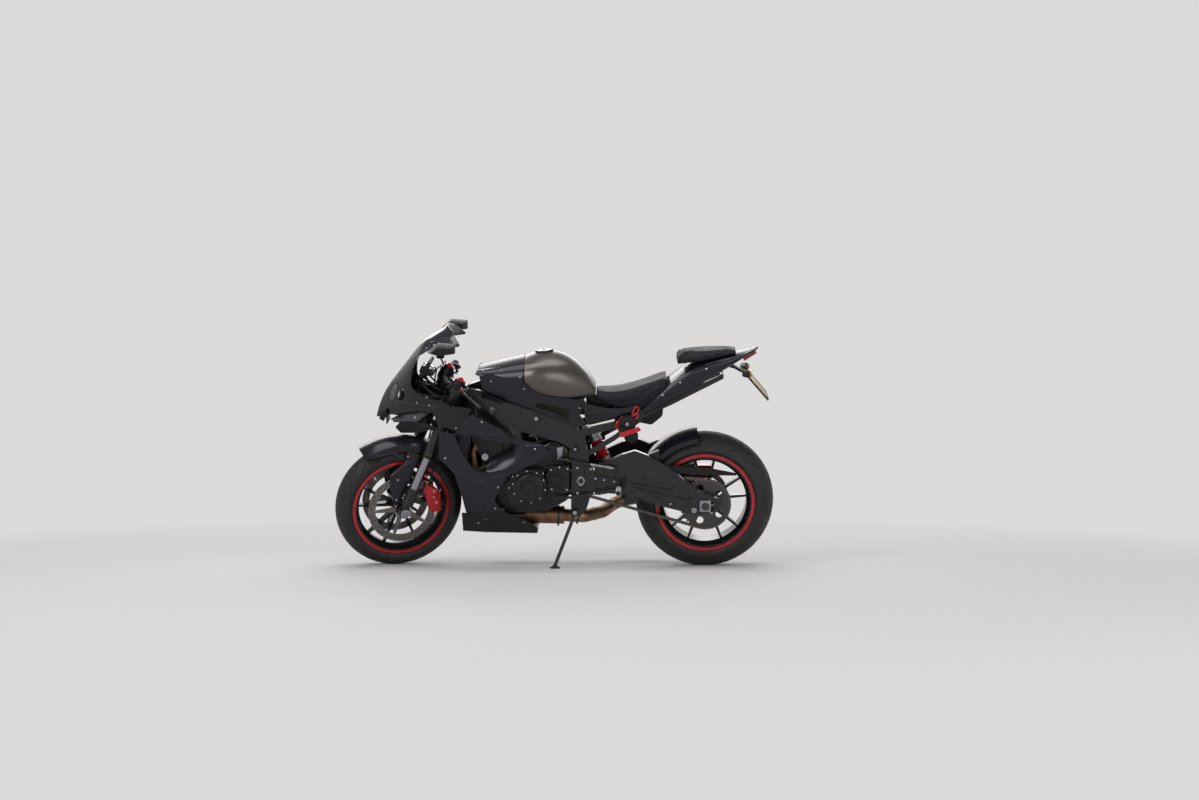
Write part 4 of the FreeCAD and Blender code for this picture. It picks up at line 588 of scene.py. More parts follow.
def mirrored(piece):
    """Copy on the machine's other side."""
    twin = copied(piece, Matrix.Identity(4))
    twin.data.transform(Matrix.Scale(-1, 4, LEFT) @ twin.matrix_world)
    twin.matrix_world = Matrix.Identity(4)
    edit(twin, "SELECT")
    bpy.ops.mesh.flip_normals()
    leave_edit()
    return twin


def both(pieces):
    """Joins pieces with their copies on the machine's other side."""
    return joined(pieces + [mirrored(piece) for piece in pieces])


def flipped(piece):
    """The piece itself, moved to the machine's other side."""
    twin = mirrored(piece)
    bpy.data.objects.remove(piece)
    return twin


def smooth(piece, degrees=CREASE):
    """Shades the piece smooth, with edges sharper than this left sharp."""
    choose(piece)
    bpy.ops.object.shade_smooth_by_angle(angle=math.radians(degrees))


def settle(piece, name, body, finish, upright=True, degrees=CREASE):
    """Bakes the piece's place into its mesh, stands it on its body and gives it its finish."""
    stand = PLACES[body] if upright else Matrix.Identity(4)
    piece.data.transform(stand @ piece.matrix_world)
    piece.matrix_world = Matrix.Identity(4)
    piece.name = piece.data.name = name
    piece.data.materials.clear()
    piece.data.materials.append(FINISHES[finish].material)
    smooth(piece, degrees)
    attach(piece, body)
    return piece


def settle_all(pieces, name, body, finish, **more):
    """Joins pieces into one and settles it."""
    return settle(joined(pieces), name, body, finish, **more)


def body_of(node):
    """Body that a frame node rides on."""
    bodies = frame["record"]["behaviour"]["bodies"]
    return next(body for body, members in bodies.items() if node in members)


def welded(node):
    """Merged copy of a node, free of the frame's own marks."""
    source = NODES[node]
    piece = source.copy()
    piece.data = source.data.copy()
    piece.parent = None
    bpy.context.collection.objects.link(piece)
    piece.matrix_world = Matrix.Identity(4)
    edit(piece, "SELECT")
    bpy.ops.mesh.customdata_custom_splitnormals_clear()
    bpy.ops.mesh.remove_doubles(threshold=DOUBLES)
    leave_edit()
    for key in list(piece.keys()):
        if key.startswith("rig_"):
            del piece[key]
    return piece


# Dressed nodes by name, how far out sideways rays start and the runs of a traced line, both in mm
SKINS = {}
OUTSIDE, LINE_STEP = 420, 22.0


def landing(nodes, start, aim, body="root"):
    """Where a ray from an upright point first meets one of these nodes, back in upright places."""
    place = PLACES[body]
    origin, way = place @ start, (place.to_3x3() @ aim).normalized()
    best = None
    for node in nodes:
        hit, spot, normal, face = SKINS[node].ray_cast(origin, way)
        if hit and (best is None or (spot - origin).length < (best[0] - origin).length):
            best = (spot, normal)
    if best is None:
        return None
    back = place.inverted()
    return back @ best[0], (back.to_3x3() @ best[1]).normalized()


def landed(nodes, starts, aim, body="root"):
    """(point, way out) for each ray from these upright points that meets one of these nodes."""
    hits = [landing(nodes, start, aim, body) for start in starts]
    return [hit for hit in hits if hit is not None]


def side_hits(nodes, places, side, body="root"):
    """The same for sideways rays from outside the machine, over (x, z) places in millimetres."""
    mark = "left" if side > 0 else "right"
    names = ["side_fairing_" + mark if node == "side_fairing" else node for node in nodes]
    starts = [mm(x, side * OUTSIDE, z) for x, z in places]
    return landed(names, starts, Vector((0, -side, 0)), body)


def close_places(line):
    """(x, z) line in millimetres cut into short runs."""
    places = []
    for (x0, z0), (x1, z1) in zip(line, line[1:]):
        cuts = max(1, round(math.hypot(x1 - x0, z1 - z0) / LINE_STEP))
        places += [(x0 + (x1 - x0) * cut / cuts, z0 + (z1 - z0) * cut / cuts) for cut in range(cuts)]
    return places + [line[-1]]


def laid(nodes, places, side, radius, body="root"):
    """Thin tube laid on these nodes through (x, z) places, in a list that is empty where few are met."""
    spots = [spot for spot, out in side_hits(nodes, places, side, body)]
    return [hose(spots, radius)] if len(spots) > 2 else []


def skin_of(node, finish, degrees=CREASE):
    """Smooth-shaded copy of a rigid node, which then stands for it."""
    piece = settle(welded(node), node + "_skin", body_of(node), finish, False, degrees)
    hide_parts(node)
    SKINS[node] = piece
    return piece

def stacked(rings):
    """Form through rings of (radius, height, sides), bridged in turn and closed at its top."""
    radius, height, sides = rings[0]
    bpy.ops.mesh.primitive_circle_add(vertices=sides, radius=radius, location=(0, 0, 0))
    piece = bpy.context.object
    for vertex in piece.data.vertices:
        vertex.co.z = height
    starts = [0]
    for before, (radius, height, sides) in zip(rings, rings[1:]):
        starts.append(starts[-1] + before[2])
        edit(piece, "DESELECT")
        bpy.ops.mesh.primitive_circle_add(vertices=sides, radius=radius, location=(0, 0, height))
        leave_edit()
    starts.append(len(piece.data.vertices))
    for low, high in zip(starts, starts[2:]):
        pick(piece, lambda index: low <= index < high)
        bpy.ops.mesh.bridge_edge_loops()
        leave_edit()
    pick(piece, lambda index: index >= starts[-2])
    bpy.ops.mesh.edge_face_add()
    leave_edit()
    return piece


def pick(piece, wanted):
    """Enters edit mode with the vertices chosen by index selected."""
    edit(piece, "DESELECT")
    bpy.ops.mesh.select_mode(type="VERT")
    leave_edit()
    for vertex in piece.data.vertices:
        vertex.select = wanted(vertex.index)
    edit(piece)


def draped(rows, thickness, levels=1):
    """Sheet through rows of upright points in millimetres, walled and smoothed."""
    across, along = len(rows[0]), len(rows)
    bpy.ops.mesh.primitive_grid_add(x_subdivisions=across - 1, y_subdivisions=along - 1, size=1)
    piece = bpy.context.object
    order = sorted(piece.data.vertices, key=lambda v: (round(v.co.y, 4), round(v.co.x, 4)))
    for vertex, point in zip(order, [point for row in rows for point in row]):
        vertex.co = mm(*point)
    outward(piece)
    wall = piece.modifiers.new("wall", "SOLIDIFY")
    wall.thickness, wall.offset = thickness * MM, 0.0
    if levels:
        round_off = piece.modifiers.new("round", "SUBSURF")
        round_off.levels = round_off.render_levels = levels
    apply_all(piece)
    return outward(piece)


# Screw heads as rings of (radius, height, sides), for a radius and height of 1
HEADS = {
    "cap": ((1.0, 0.0, 20), (1.0, 0.8, 20), (0.88, 1.0, 20), (0.5, 1.0, 6), (0.5, 0.45, 6)),
    "button": ((1.0, 0.0, 20), (0.94, 0.35, 20), (0.7, 0.58, 20), (0.42, 0.66, 6), (0.42, 0.3, 6)),
    "nut": ((1.2, 0.0, 24), (1.16, 0.16, 24), (0.95, 0.22, 24), (0.92, 0.24, 6), (0.88, 0.95, 6),
            (0.6, 1.0, 16), (0.48, 1.0, 16), (0.44, 0.7, 16)),
    "hole": ((1.0, 0.0, 12), (1.0, 1.0, 12), (0.74, 1.0, 12), (0.7, 0.2, 12)),
    "bobbin": ((1.0, 0.0, 20), (1.0, 0.7, 20), (0.86, 1.0, 20), (0.62, 1.0, 20), (0.56, 0.3, 20)),
}
PATTERNS = {}


def head_of(kind):
    """Pattern of one kind of head, made when it is first asked for."""
    if kind not in PATTERNS:
        PATTERNS[kind] = outward(stacked(HEADS[kind]))
    return PATTERNS[kind]


def opposite(places):
    """Screw places with their mirror images."""
    flip = Vector((1, -1, 1))
    return places + [(spot * flip, out * flip, radius, height) for spot, out, radius, height in places]


def screws(name, body, finish, places, kind="button"):
    """Screw heads of one finish on one body, at (upright point, way out, radius, height) places."""
    made = []
    for spot, out, radius, height in places:
        turn = out.to_track_quat("Z", "Y").to_matrix().to_4x4()
        size = Matrix.Diagonal((radius, radius, height, 1.0))
        made.append(copied(head_of(kind), Matrix.Translation(spot - out * height * 0.04) @ turn @ size))
    return settle_all(made, name, body, finish)


def drop_patterns():
    """Removes the patterns when all copies are made."""
    for piece in PATTERNS.values():
        bpy.data.objects.remove(piece)
    PATTERNS.clear()


# Sizes that a user may change
class BikeColours(bpy.types.PropertyGroup):
    body: bpy.props.FloatVectorProperty(
        name="Body", description="Satin paint of the fairing and tail",
        subtype="COLOR", size=3, min=0, max=1, default=(0.0105, 0.0092, 0.0165))
    tank: bpy.props.FloatVectorProperty(
        name="Tank", description="Satin metallic paint of the fuel tank",
        subtype="COLOR", size=3, min=0, max=1, default=(0.105, 0.092, 0.083))
    red: bpy.props.FloatVectorProperty(
        name="Red", description="Calipers, shock spring and rim stripe",
        subtype="COLOR", size=3, min=0, max=1, default=(0.56, 0.006, 0.014))
    floor: bpy.props.FloatVectorProperty(
        name="Floor", description="Studio floor and backdrop",
        subtype="COLOR", size=3, min=0, max=1, default=(0.72, 0.7, 0.7))


class BikeSizes(bpy.types.PropertyGroup):
    tyre_steps: bpy.props.IntProperty(
        name="Tyre steps", description="Divisions round each tyre",
        default=240, min=48, max=400)
    vent_edge: bpy.props.FloatProperty(
        name="Vent edge", description="Radius of the side vents' rolled edge",
        default=0.0026, min=0.001, max=0.01, unit="LENGTH")
    brake_line: bpy.props.FloatProperty(
        name="Brake line", description="Radius of the lines from the levers",
        default=0.0034, min=0.001, max=0.01, unit="LENGTH")


# Nodes whose own shape shows, and the finish of each
DRESS = {
    "frame": "frame", "pivot_axle": "alloy", "subframe": "frame", "shock_mount": "frame",
    "stand_bracket": "frame", "fairing_stay": "frame", "engine_block": "engine",
    "engine_covers": "engine", "threaded_bosses": "alloy", "sprocket_cover": "engine",
    "radiator": "core", "exhaust_pipes": "exhaust", "silencer": "dark_steel", "swingarm": "swingarm",
    "rear_axle": "alloy", "rear_hugger": "body", "chain_guard": "plastic", "shock_body": "alloy",
    "shock_spring": "red", "rear_caliper": "red", "rearsets": "frame", "hanging_lock": "plastic",
    "brake_hoses": "hose",
    "nose_fairing": "body_gloss", "lamps": "lens", "windscreen": "smoke",
    "side_fairing_left": "body", "side_fairing_right": "body", "belly_pan": "body_gloss",
    "chin_ducts": "plastic", "fuel_tank": "tank", "airbox_cover": "body", "frame_trims": "body",
    "tail_fairing": "body", "undertail": "plastic", "plate_hanger": "plastic", "mirrors": "plastic",
    "instrument_panel": "plastic", "fork_tubes": "frame", "fork_sliders": "silver",
    "fork_feet": "frame", "top_yoke": "frame", "bottom_yoke": "frame", "steering_stem": "steel",
    "front_axle": "alloy", "front_mudguard": "body", "front_calipers": "red", "clip_ons": "frame",
    "brake_reservoir": "plastic", "front_rim": "wheel", "rear_rim": "wheel",
    "side_stand": "frame", "rear_sprocket": "dark_steel",
    "front_discs": "disc", "rear_disc": "disc",
}


class BIKE_OT_finishes(bpy.types.Operator):
    """Mix every paint, metal, plastic and rubber of the machine"""
    bl_idname = "bike.finishes"
    bl_label = "Finishes"

    def execute(self, context):
        mix_finishes(context.scene.bike_colours)
        FINISHES["tyre_front"] = tyre_rubber("front_tyre_rubber", FRONT_TYRE.around, FRONT_TYRE.half_arc)
        FINISHES["tyre_rear"] = tyre_rubber("rear_tyre_rubber", REAR_TYRE.around, REAR_TYRE.half_arc)
        return {"FINISHED"}


class BIKE_OT_dress(bpy.types.Operator):
    """Weld and finish the rigid nodes whose own shape shows"""
    bl_idname = "bike.dress"
    bl_label = "Rigid pieces"

    def execute(self, context):
        for node, finish in DRESS.items():
            skin_of(node, finish)
        return {"FINISHED"}


# Tyres
class TyreSize:
    """Measurements of one tyre's section."""

    def __init__(self, centre, outer, half_width, crown):
        self.centre, self.outer, self.half_width, self.crown = centre, outer, half_width, crown
        self.reach = math.asin(half_width / crown)
        self.half_arc = crown * self.reach
        self.around = 2 * math.pi * outer


REAR_TYRE = TyreSize(REAR_AXLE, 0.32, 0.095, 0.1)
FRONT_TYRE = TyreSize(FRONT_AXLE, 0.3, 0.06, 0.064)
BEAD_R, FLANGE_R, FLANGE_W = 0.216, 0.23, 0.007
VALVE_TURN = 0.9
STRIPE = ((0.0004, 0.0005), (0.0006, 0.004), (0.0004, 0.0125), (-0.002, 0.0125), (-0.002, 0.0005))
REAR_RIM_HALF_W, FRONT_RIM_HALF_W = 0.077, 0.045


def tyre_section(size, rim_half_w, cuts=18):
    """Closed section of (y, radius) rows: crown, shoulders, side walls with two ribs, and beads."""
    crown_rows = []
    for k in range(2 * cuts + 1):
        turn = size.reach * (1 - k / cuts)
        crown_rows.append((size.crown * math.sin(turn),
                           size.outer - size.crown + size.crown * math.cos(turn)))
    edge_y, edge_r = crown_rows[0]
    flange_y = rim_half_w + FLANGE_W
    wall = [(rim_half_w - 0.001, BEAD_R), (rim_half_w - 0.001, FLANGE_R), (flange_y - 0.001, FLANGE_R),
            (flange_y + 0.0015, FLANGE_R + 0.001), (flange_y + 0.002, FLANGE_R + 0.004),
            (flange_y + (edge_y - flange_y) * 0.45 + 0.002, FLANGE_R + (edge_r - FLANGE_R) * 0.4),
            (flange_y + (edge_y - flange_y) * 0.6 + 0.003, FLANGE_R + (edge_r - FLANGE_R) * 0.5),
            (edge_y, edge_r - (edge_r - FLANGE_R) * 0.2)]
    return wall + crown_rows + [(-y, r) for y, r in reversed(wall)]


def map_tread(piece, size):
    """Unrolls the tyre, u in metres round it and v in metres across it."""
    layer = piece.data.uv_layers.new(name="tread")
    for face in piece.data.polygons:
        middle = face.center - size.centre
        base = math.atan2(middle.z, middle.x)
        for corner in face.loop_indices:
            out = piece.data.vertices[piece.data.loops[corner].vertex_index].co - size.centre
            turn = (math.atan2(out.z, out.x) - base + math.pi) % (2 * math.pi) - math.pi
            radius = math.hypot(out.x, out.z)
            across = math.atan2(out.y, radius - size.outer + size.crown) * size.crown
            layer.data[corner].uv = ((base + turn) * size.outer, across)


class BIKE_OT_tyres(bpy.types.Operator):
    """Spin both tyres and unroll their treads"""
    bl_idname = "bike.tyres"
    bl_label = "Tyres"

    def execute(self, context):
        steps = context.scene.bike_sizes.tyre_steps
        for size, rim_half_w, node, body, finish in (
                (FRONT_TYRE, FRONT_RIM_HALF_W, "front_tyre", "front_wheel", "tyre_front"),
                (REAR_TYRE, REAR_RIM_HALF_W, "rear_tyre", "rear_wheel", "tyre_rear")):
            piece = spun(tyre_section(size, rim_half_w), size.centre, steps)
            map_tread(piece, size)
            settle(piece, node + "_tread", body, finish, degrees=50)
            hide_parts(node)
        return {"FINISHED"}


class BIKE_OT_rim_stripes(bpy.types.Operator):
    """Red stripes round both rim edges, with the stems of the tyre valves"""
    bl_idname = "bike.rim_stripes"
    bl_label = "Rim stripes"

    def execute(self, context):
        for centre, rim_half_w, body in ((FRONT_AXLE, FRONT_RIM_HALF_W, "front_wheel"),
                                         (REAR_AXLE, REAR_RIM_HALF_W, "rear_wheel")):
            edge = rim_half_w + FLANGE_W
            rings = []
            for side in (-1, 1):
                rows = [(side * (edge + proud), FLANGE_R - down) for proud, down in STRIPE]
                rings.append(spun(rows, centre, 160))
            settle_all(rings, body + "_stripe", body, "red", degrees=40)
            out = spoke(VALVE_TURN)
            foot = centre + out * (BEAD_R - 0.024)
            valve = rod(foot, foot - out * 0.03 + LEFT * 0.008, 0.0042, 12, 0.0008)
            settle(valve, body + "_valve", body, "steel")
        return {"FINISHED"}


# Seats
class Seam:
    """Sewn line on a pad: where it lies, as a distance in metres from an upright point."""

    def __init__(self, distance, depth=0.0022, width=0.0035):
        self.distance, self.depth, self.width = distance, depth, width

    def sink(self, point):
        return self.depth * math.exp(-(self.distance(point) / self.width) ** 2)


def between(rows, x):
    """Straight-line value at x from (x, value) rows."""
    rows = sorted(rows)
    if x <= rows[0][0]:
        return rows[0][1]
    for (x0, v0), (x1, v1) in zip(rows, rows[1:]):
        if x <= x1:
            return v0 + (v1 - v0) * (x - x0) / (x1 - x0)
    return rows[-1][1]


def swell(piece, cap, pressure=4.0, frames=20):
    """Blows the pad up as cloth held at its base, and caps how far any point moves."""
    held = piece.vertex_groups.new(name="held")
    down = STANDING.to_3x3() @ Vector((0, 0, -1))
    held.add([v.index for v in piece.data.vertices if v.normal.dot(down) > 0.55], 1.0, "REPLACE")
    rest = [v.co.copy() for v in piece.data.vertices]
    cloth = piece.modifiers.new("cover", "CLOTH")
    cloth.settings.use_pressure = True
    cloth.settings.uniform_pressure_force = pressure
    cloth.settings.vertex_group_mass = "held"
    cloth.settings.effector_weights.gravity = 0
    cloth.settings.quality = 4
    scene = bpy.context.scene
    for moment in range(1, frames + 1):
        scene.frame_set(moment)
    swollen = piece.evaluated_get(bpy.context.evaluated_depsgraph_get()).data
    moved = [v.co.copy() for v in swollen.vertices]
    piece.modifiers.remove(cloth)
    scene.frame_set(1)
    for vertex, start, stop in zip(piece.data.vertices, rest, moved):
        step = stop - start
        if step.length > cap:
            step *= cap / step.length
        vertex.co = start + step
    piece.vertex_groups.clear()


def pad_of(node, seams, inset=0.004, cap=0.006, voxel=0.005):
    """Seat pad from a node's form: remeshed, swelled, subdivided and sewn."""
    piece = welded(node)
    remesh = piece.modifiers.new("even", "REMESH")
    remesh.mode, remesh.voxel_size = "VOXEL", voxel
    relax = piece.modifiers.new("relax", "SMOOTH")
    relax.factor, relax.iterations = 0.5, 4
    shrink = piece.modifiers.new("shrink", "DISPLACE")
    shrink.strength, shrink.mid_level = -inset, 0.0
    apply_all(piece)
    swell(piece, cap)
    finer = piece.modifiers.new("finer", "SUBSURF")
    finer.levels = finer.render_levels = 1
    apply_all(piece)
    upright = STANDING.inverted()
    moves = []
    for vertex in piece.data.vertices:
        point = upright @ vertex.co
        moves.append(vertex.normal * sum(seam.sink(point) for seam in seams))
    for vertex, move in zip(piece.data.vertices, moves):
        vertex.co = vertex.co - move
    settle(piece, node + "_pad", "root", "seat", False, 60)
    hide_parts(node)
    return piece


def stitches(pad, name, targets, length=0.0032, gap=0.0052, radius=0.00042):
    """Row of thread stitches laid on a pad, along the points that the rays (start, aim) find."""
    found = []
    for start, aim in targets:
        origin = STANDING @ start
        hit, spot, normal, face = pad.ray_cast(origin, (STANDING @ aim - origin).normalized())
        if hit:
            found.append((spot, normal))
    made = []
    run = 0.0
    for (a, na), (b, _) in zip(found, found[1:]):
        step = (b - a).length
        if step > 0.05 or step == 0:
            continue
        along = (b - a) / step
        while run < step:
            middle = a + along * run
            made.append(rod(middle - along * length / 2 + na * radius * 0.4,
                            middle + along * length / 2 + na * radius * 0.4, radius, 6))
            run += gap
        run -= step
    if made:
        settle_all(made, name, "root", "thread", upright=False)


RIDER_SHOULDER = ((-0.212, 0.066), (-0.3, 0.1), (-0.43, 0.116), (-0.54, 0.112))
PILLION_SEAMS = (-0.61, -0.636)
EDGE_RAYS, CROSS_RAYS = 60, 40


class BIKE_OT_seats(bpy.types.Operator):
    """Rider's and passenger's sewn vinyl pads"""
    bl_idname = "bike.seats"
    bl_label = "Seats"

    def execute(self, context):
        edge = Seam(lambda p: abs(abs(p.y) - between(RIDER_SHOULDER, p.x)) + (1 if p.z < 0.8 else 0), 0.0016)
        rider = pad_of("rider_seat", (edge,))
        pillion = pad_of("pillion_seat", [Seam(lambda p, at=at: abs(p.x - at)) for at in PILLION_SEAMS])
        for side, mark in ((-1, "right"), (1, "left")):
            rays = []
            for step in range(EDGE_RAYS):
                x = -0.225 - 0.305 * step / (EDGE_RAYS - 1)
                y = side * (between(RIDER_SHOULDER, x) - 0.0045)
                rays.append((Vector((x, y, 1.2)), Vector((x, y, 0.7))))
            stitches(rider, "rider_seat_stitches_" + mark, rays)
        for number, at in enumerate(PILLION_SEAMS):
            middle = Vector((at - 0.004, 0, 0.99))
            rays = []
            for step in range(CROSS_RAYS):
                turn = math.radians(-100 + 200 * step / (CROSS_RAYS - 1))
                away = middle + Vector((0, 0.25 * math.sin(turn), 0.25 * math.cos(turn)))
                rays.append((away, middle))
            stitches(pillion, "pillion_stitches_%d" % number, rays)
        return {"FINISHED"}


# Fasteners: nodes that they may sit on, head radius in mm, sides that have them, (x, z) in mm
BOTH, LEFT_ONLY = (1, -1), (1,)
BODY_SCREW_MAX = 6
SIDE_SCREWS = (
    (("side_fairing",), 4.5, BOTH, ((473, 561), (447, 503), (232, 428), (60, 612), (300, 735), (400, 320),
                                    (250, 322))),
    (("side_fairing", "nose_fairing"), 4.5, BOTH, ((420, 700),)),
    (("belly_pan",), 4.5, BOTH, ((330, 245), (120, 250))),
    (("nose_fairing",), 4.0, BOTH, ((600, 812), (540, 806), (668, 862))),
    (("airbox_cover",), 4.0, BOTH, ((300, 948), (215, 955), (128, 930))),
    (("frame_trims",), 4.0, BOTH, ((262, 905), (110, 872), (-140, 778))),
    (("tail_fairing",), 4.5, BOTH, ((-600, 895), (-520, 838), (-720, 955))),
    (("frame",), 9.5, BOTH, ((56, 739),)),
    (("frame",), 8.5, BOTH, ((64, 639),)),
    (("frame",), 7.0, BOTH, ((-118, 590),)),
    (("frame",), 6.0, BOTH, ((-128, 500), (-128, 380))),
    (("engine_block", "engine_covers"), 4.5, LEFT_ONLY, ((184, 417),)),
    (("engine_block",), 4.5, LEFT_ONLY, ((168, 470), (28, 484), (40, 372))),
    (("sprocket_cover",), 4.5, LEFT_ONLY, ((-84, 500), (-80, 402), (-8, 496), (-10, 404), (-46, 508))),
    (("rearsets",), 5.0, BOTH, ((-190, 498), (-212, 452), (-205, 390))),
    (("rearsets",), 4.5, BOTH, ((-250, 446), (-298, 438), (-240, 386))),
    (("rear_hugger",), 4.0, BOTH, ((-600, 560),)),
    (("swingarm",), 4.5, BOTH, ((-556, 330),)),
    (("subframe",), 5.0, BOTH, ((-420, 700),)),
)


class BIKE_OT_screws(bpy.types.Operator):
    """Silver screws of the bodywork, frame and engine"""
    bl_idname = "bike.screws"
    bl_label = "Screws"

    def execute(self, context):
        small, large = [], []
        for nodes, radius, sides, places in SIDE_SCREWS:
            rows = large if radius > BODY_SCREW_MAX else small
            for side in sides:
                rows += [(spot, out, radius * MM, radius * 0.0009)
                         for spot, out in side_hits(nodes, places, side)]
        screws("bodywork_screws", "root", "steel", small, "button")
        screws("frame_bolts", "root", "steel", large, "cap")
        ring = []
        for centre, radius, side, count in ((Vector((0.092, 0.0, 0.424)), 0.074, 1, 10),
                                            (Vector((0.032, 0.0, 0.43)), 0.08, -1, 12)):
            starts = round_places(centre, radius, 0.4 * side, count, 2 * math.pi * 0.3 / count)
            ring += [(spot, out, 0.0042, 0.0044)
                     for spot, out in landed(["engine_covers"], starts, Vector((0, -side, 0)))]
        screws("cover_ring_bolts", "root", "steel", ring, "cap")
        return {"FINISHED"}


# Engine and fairing details
GENERATOR = mm(92, 220, 424)
VENT_EDGE = ((431, 676), (390, 572), (347, 510), (284, 492), (188, 513), (114, 557), (86, 630), (170, 652),
             (248, 665), (340, 672))
VENT_OUT = 236
# Inner duct: how far out each of its lines runs, and the line's (x, z) places
VENT_DUCT = (
    (231, ((292, 497), (240, 501), (190, 514), (150, 536), (118, 558), (100, 594), (93, 628))),
    (214, ((288, 516), (246, 524), (205, 540), (170, 560), (145, 582), (130, 610), (126, 640))),
    (176, ((282, 545), (250, 556), (215, 572), (186, 590), (166, 612), (156, 632), (153, 652))),
)


class BIKE_OT_covers(bpy.types.Operator):
    """Cast relief on the engine's side covers"""
    bl_idname = "bike.covers"
    bl_label = "Engine covers"

    def execute(self, context):
        made = [spun([(-0.004, 0.03), (0.002, 0.03), (0.0032, 0.0285), (0.0032, 0.0245), (0.002, 0.023),
                      (-0.004, 0.023)], GENERATOR, 48)]
        for number in range(6):
            out = spoke(2 * math.pi * number / 6 + 0.4)
            across = out.cross(LEFT)
            rib = [(GENERATOR + out * a + across * b) * 1000 for a, b in
                   ((0.01, 0.0045), (0.026, 0.0065), (0.026, -0.0065), (0.01, -0.0045))]
            made.append(plate([(point.x, point.z) for point in rib], 217, 222.4, 0.0012))
        made.append(spun([(-0.004, 0.0), (0.003, 0.0), (0.003, 0.009), (0.0015, 0.011), (-0.004, 0.011)],
                         GENERATOR, 32))
        settle_all(made, "generator_relief", "root", "engine")
        ring = spun([(-0.004, 0.022), (0.001, 0.022), (0.002, 0.0205), (0.002, 0.0175), (-0.004, 0.0175)],
                    mm(-28, 176, 441), 40)
        settle(ring, "sprocket_cover_ring", "root", "engine")
        clutch = mm(32, -216, 430)
        made = [spun([(0.004, 0.034), (-0.002, 0.034), (-0.003, 0.032), (-0.003, 0.027), (0.004, 0.027)],
                     clutch, 48)]
        for stud in round_places(clutch, 0.018, 0.0, 5):
            made.append(rod(stud + LEFT * 0.004, stud - LEFT * 0.0015, 0.0045, 16, 0.0008))
        settle_all(made, "clutch_relief", "root", "engine")
        return {"FINISHED"}


class BIKE_OT_vents(bpy.types.Operator):
    """Rolled edge, inner duct and slider bolt of each side vent"""
    bl_idname = "bike.vents"
    bl_label = "Side vents"

    def execute(self, context):
        for side, mark in ((1, "left"), (-1, "right")):
            edge = []
            for x, z in VENT_EDGE + VENT_EDGE[:1]:
                found = side_hits(["side_fairing"], [(x, z)], side)
                edge.append(found[0][0] if found else mm(x, side * VENT_OUT, z))
            rim = hose(edge, context.scene.bike_sizes.vent_edge)
            settle(rim, "vent_rim_" + mark, "root", "body")
            rows = [[(x, side * y, z) for x, z in line] for y, line in VENT_DUCT]
            settle(draped(rows, 2.2), "vent_duct_" + mark, "root", "body")
        bosses = opposite([(mm(292, 186, 562), LEFT, 0.0095, 0.009)])
        screws("slider_bolts", "root", "steel", bosses, "cap")
        return {"FINISHED"}


# Chain and running gear
CHAIN_PITCH, CHAIN_SIDE, LINKS = 0.015875, 110.0, 120
REAR_TEETH, FRONT_TEETH = 45, 16
OUTPUT = mm(-28, 0, 447)


def loop_place(share):
    """Place on the chain's line at a share of its length, from the rear sprocket's top."""
    big_r, small_r = (CHAIN_PITCH / (2 * math.sin(math.pi / teeth)) for teeth in (REAR_TEETH, FRONT_TEETH))
    reach = OUTPUT - REAR_AXLE
    base = math.atan2(reach.z, reach.x)
    swing = math.acos((big_r - small_r) / reach.length)
    run = math.sqrt(reach.length ** 2 - (big_r - small_r) ** 2)
    front, back = 2 * swing * small_r, 2 * (math.pi - swing) * big_r

    def spot(centre, radius, angle):
        return centre + spoke(angle) * radius

    along = share * (2 * run + front + back)
    if along < run:
        return spot(REAR_AXLE, big_r, base + swing).lerp(spot(OUTPUT, small_r, base + swing), along / run)
    along -= run
    if along < front:
        return spot(OUTPUT, small_r, base + swing - along / small_r)
    along -= front
    if along < run:
        return spot(OUTPUT, small_r, base - swing).lerp(spot(REAR_AXLE, big_r, base - swing), along / run)
    return spot(REAR_AXLE, big_r, base - swing - (along - run) / big_r)


def link(low, high, radius):
    """Pair of waisted link plates, one on each side of the chain's middle."""
    half = CHAIN_PITCH * 500
    turns = [math.radians(a) for a in (-75, -38, 0, 38, 75)]
    outline = [(half + radius * math.cos(a), radius * math.sin(a)) for a in turns] + [(0, radius * 0.72)]
    outline += [(-half - radius * math.cos(a), radius * math.sin(a)) for a in reversed(turns)]
    outline += [(0, -radius * 0.72)]
    return [plate(outline, low, high), plate(outline, -high, -low)]


class BIKE_OT_chain(bpy.types.Operator):
    """Roller chain of inner and outer links round both sprockets"""
    bl_idname = "bike.chain"
    bl_label = "Chain"

    def execute(self, context):
        half = CHAIN_PITCH * 500
        inner, outer = link(4.2, 6.0, 6.9), link(6.2, 8.0, 6.9)
        for x in (-half, half):
            inner.append(rod(mm(x, -4.2, 0), mm(x, 4.2, 0), 0.0051, 10))
            outer.append(rod(mm(x, -8.6, 0), mm(x, 8.6, 0), 0.0024, 8))
        patterns = [joined(inner), joined(outer)]
        made = []
        for number in range(LINKS):
            start, stop = loop_place(number / LINKS), loop_place((number + 1) / LINKS)
            ahead = (stop - start).normalized()
            turn = axes(ahead, LEFT).to_4x4()
            middle = (start + stop) / 2 + LEFT * CHAIN_SIDE * MM
            made.append(copied(patterns[number % 2], Matrix.Translation(middle) @ turn))
        for pattern in patterns:
            bpy.data.objects.remove(pattern)
        links = settle_all(made, "chain_links", "root", "chain")
        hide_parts("chain")
        return {"FINISHED"}


def round_places(centre, radius, side, count, start=0.0):
    """Evenly turned places about a crosswise axis, as (x, z) offsets set to one side."""
    return [centre + LEFT * side + spoke(a) * radius
            for a in (start + 2 * math.pi * k / count for k in range(count))]
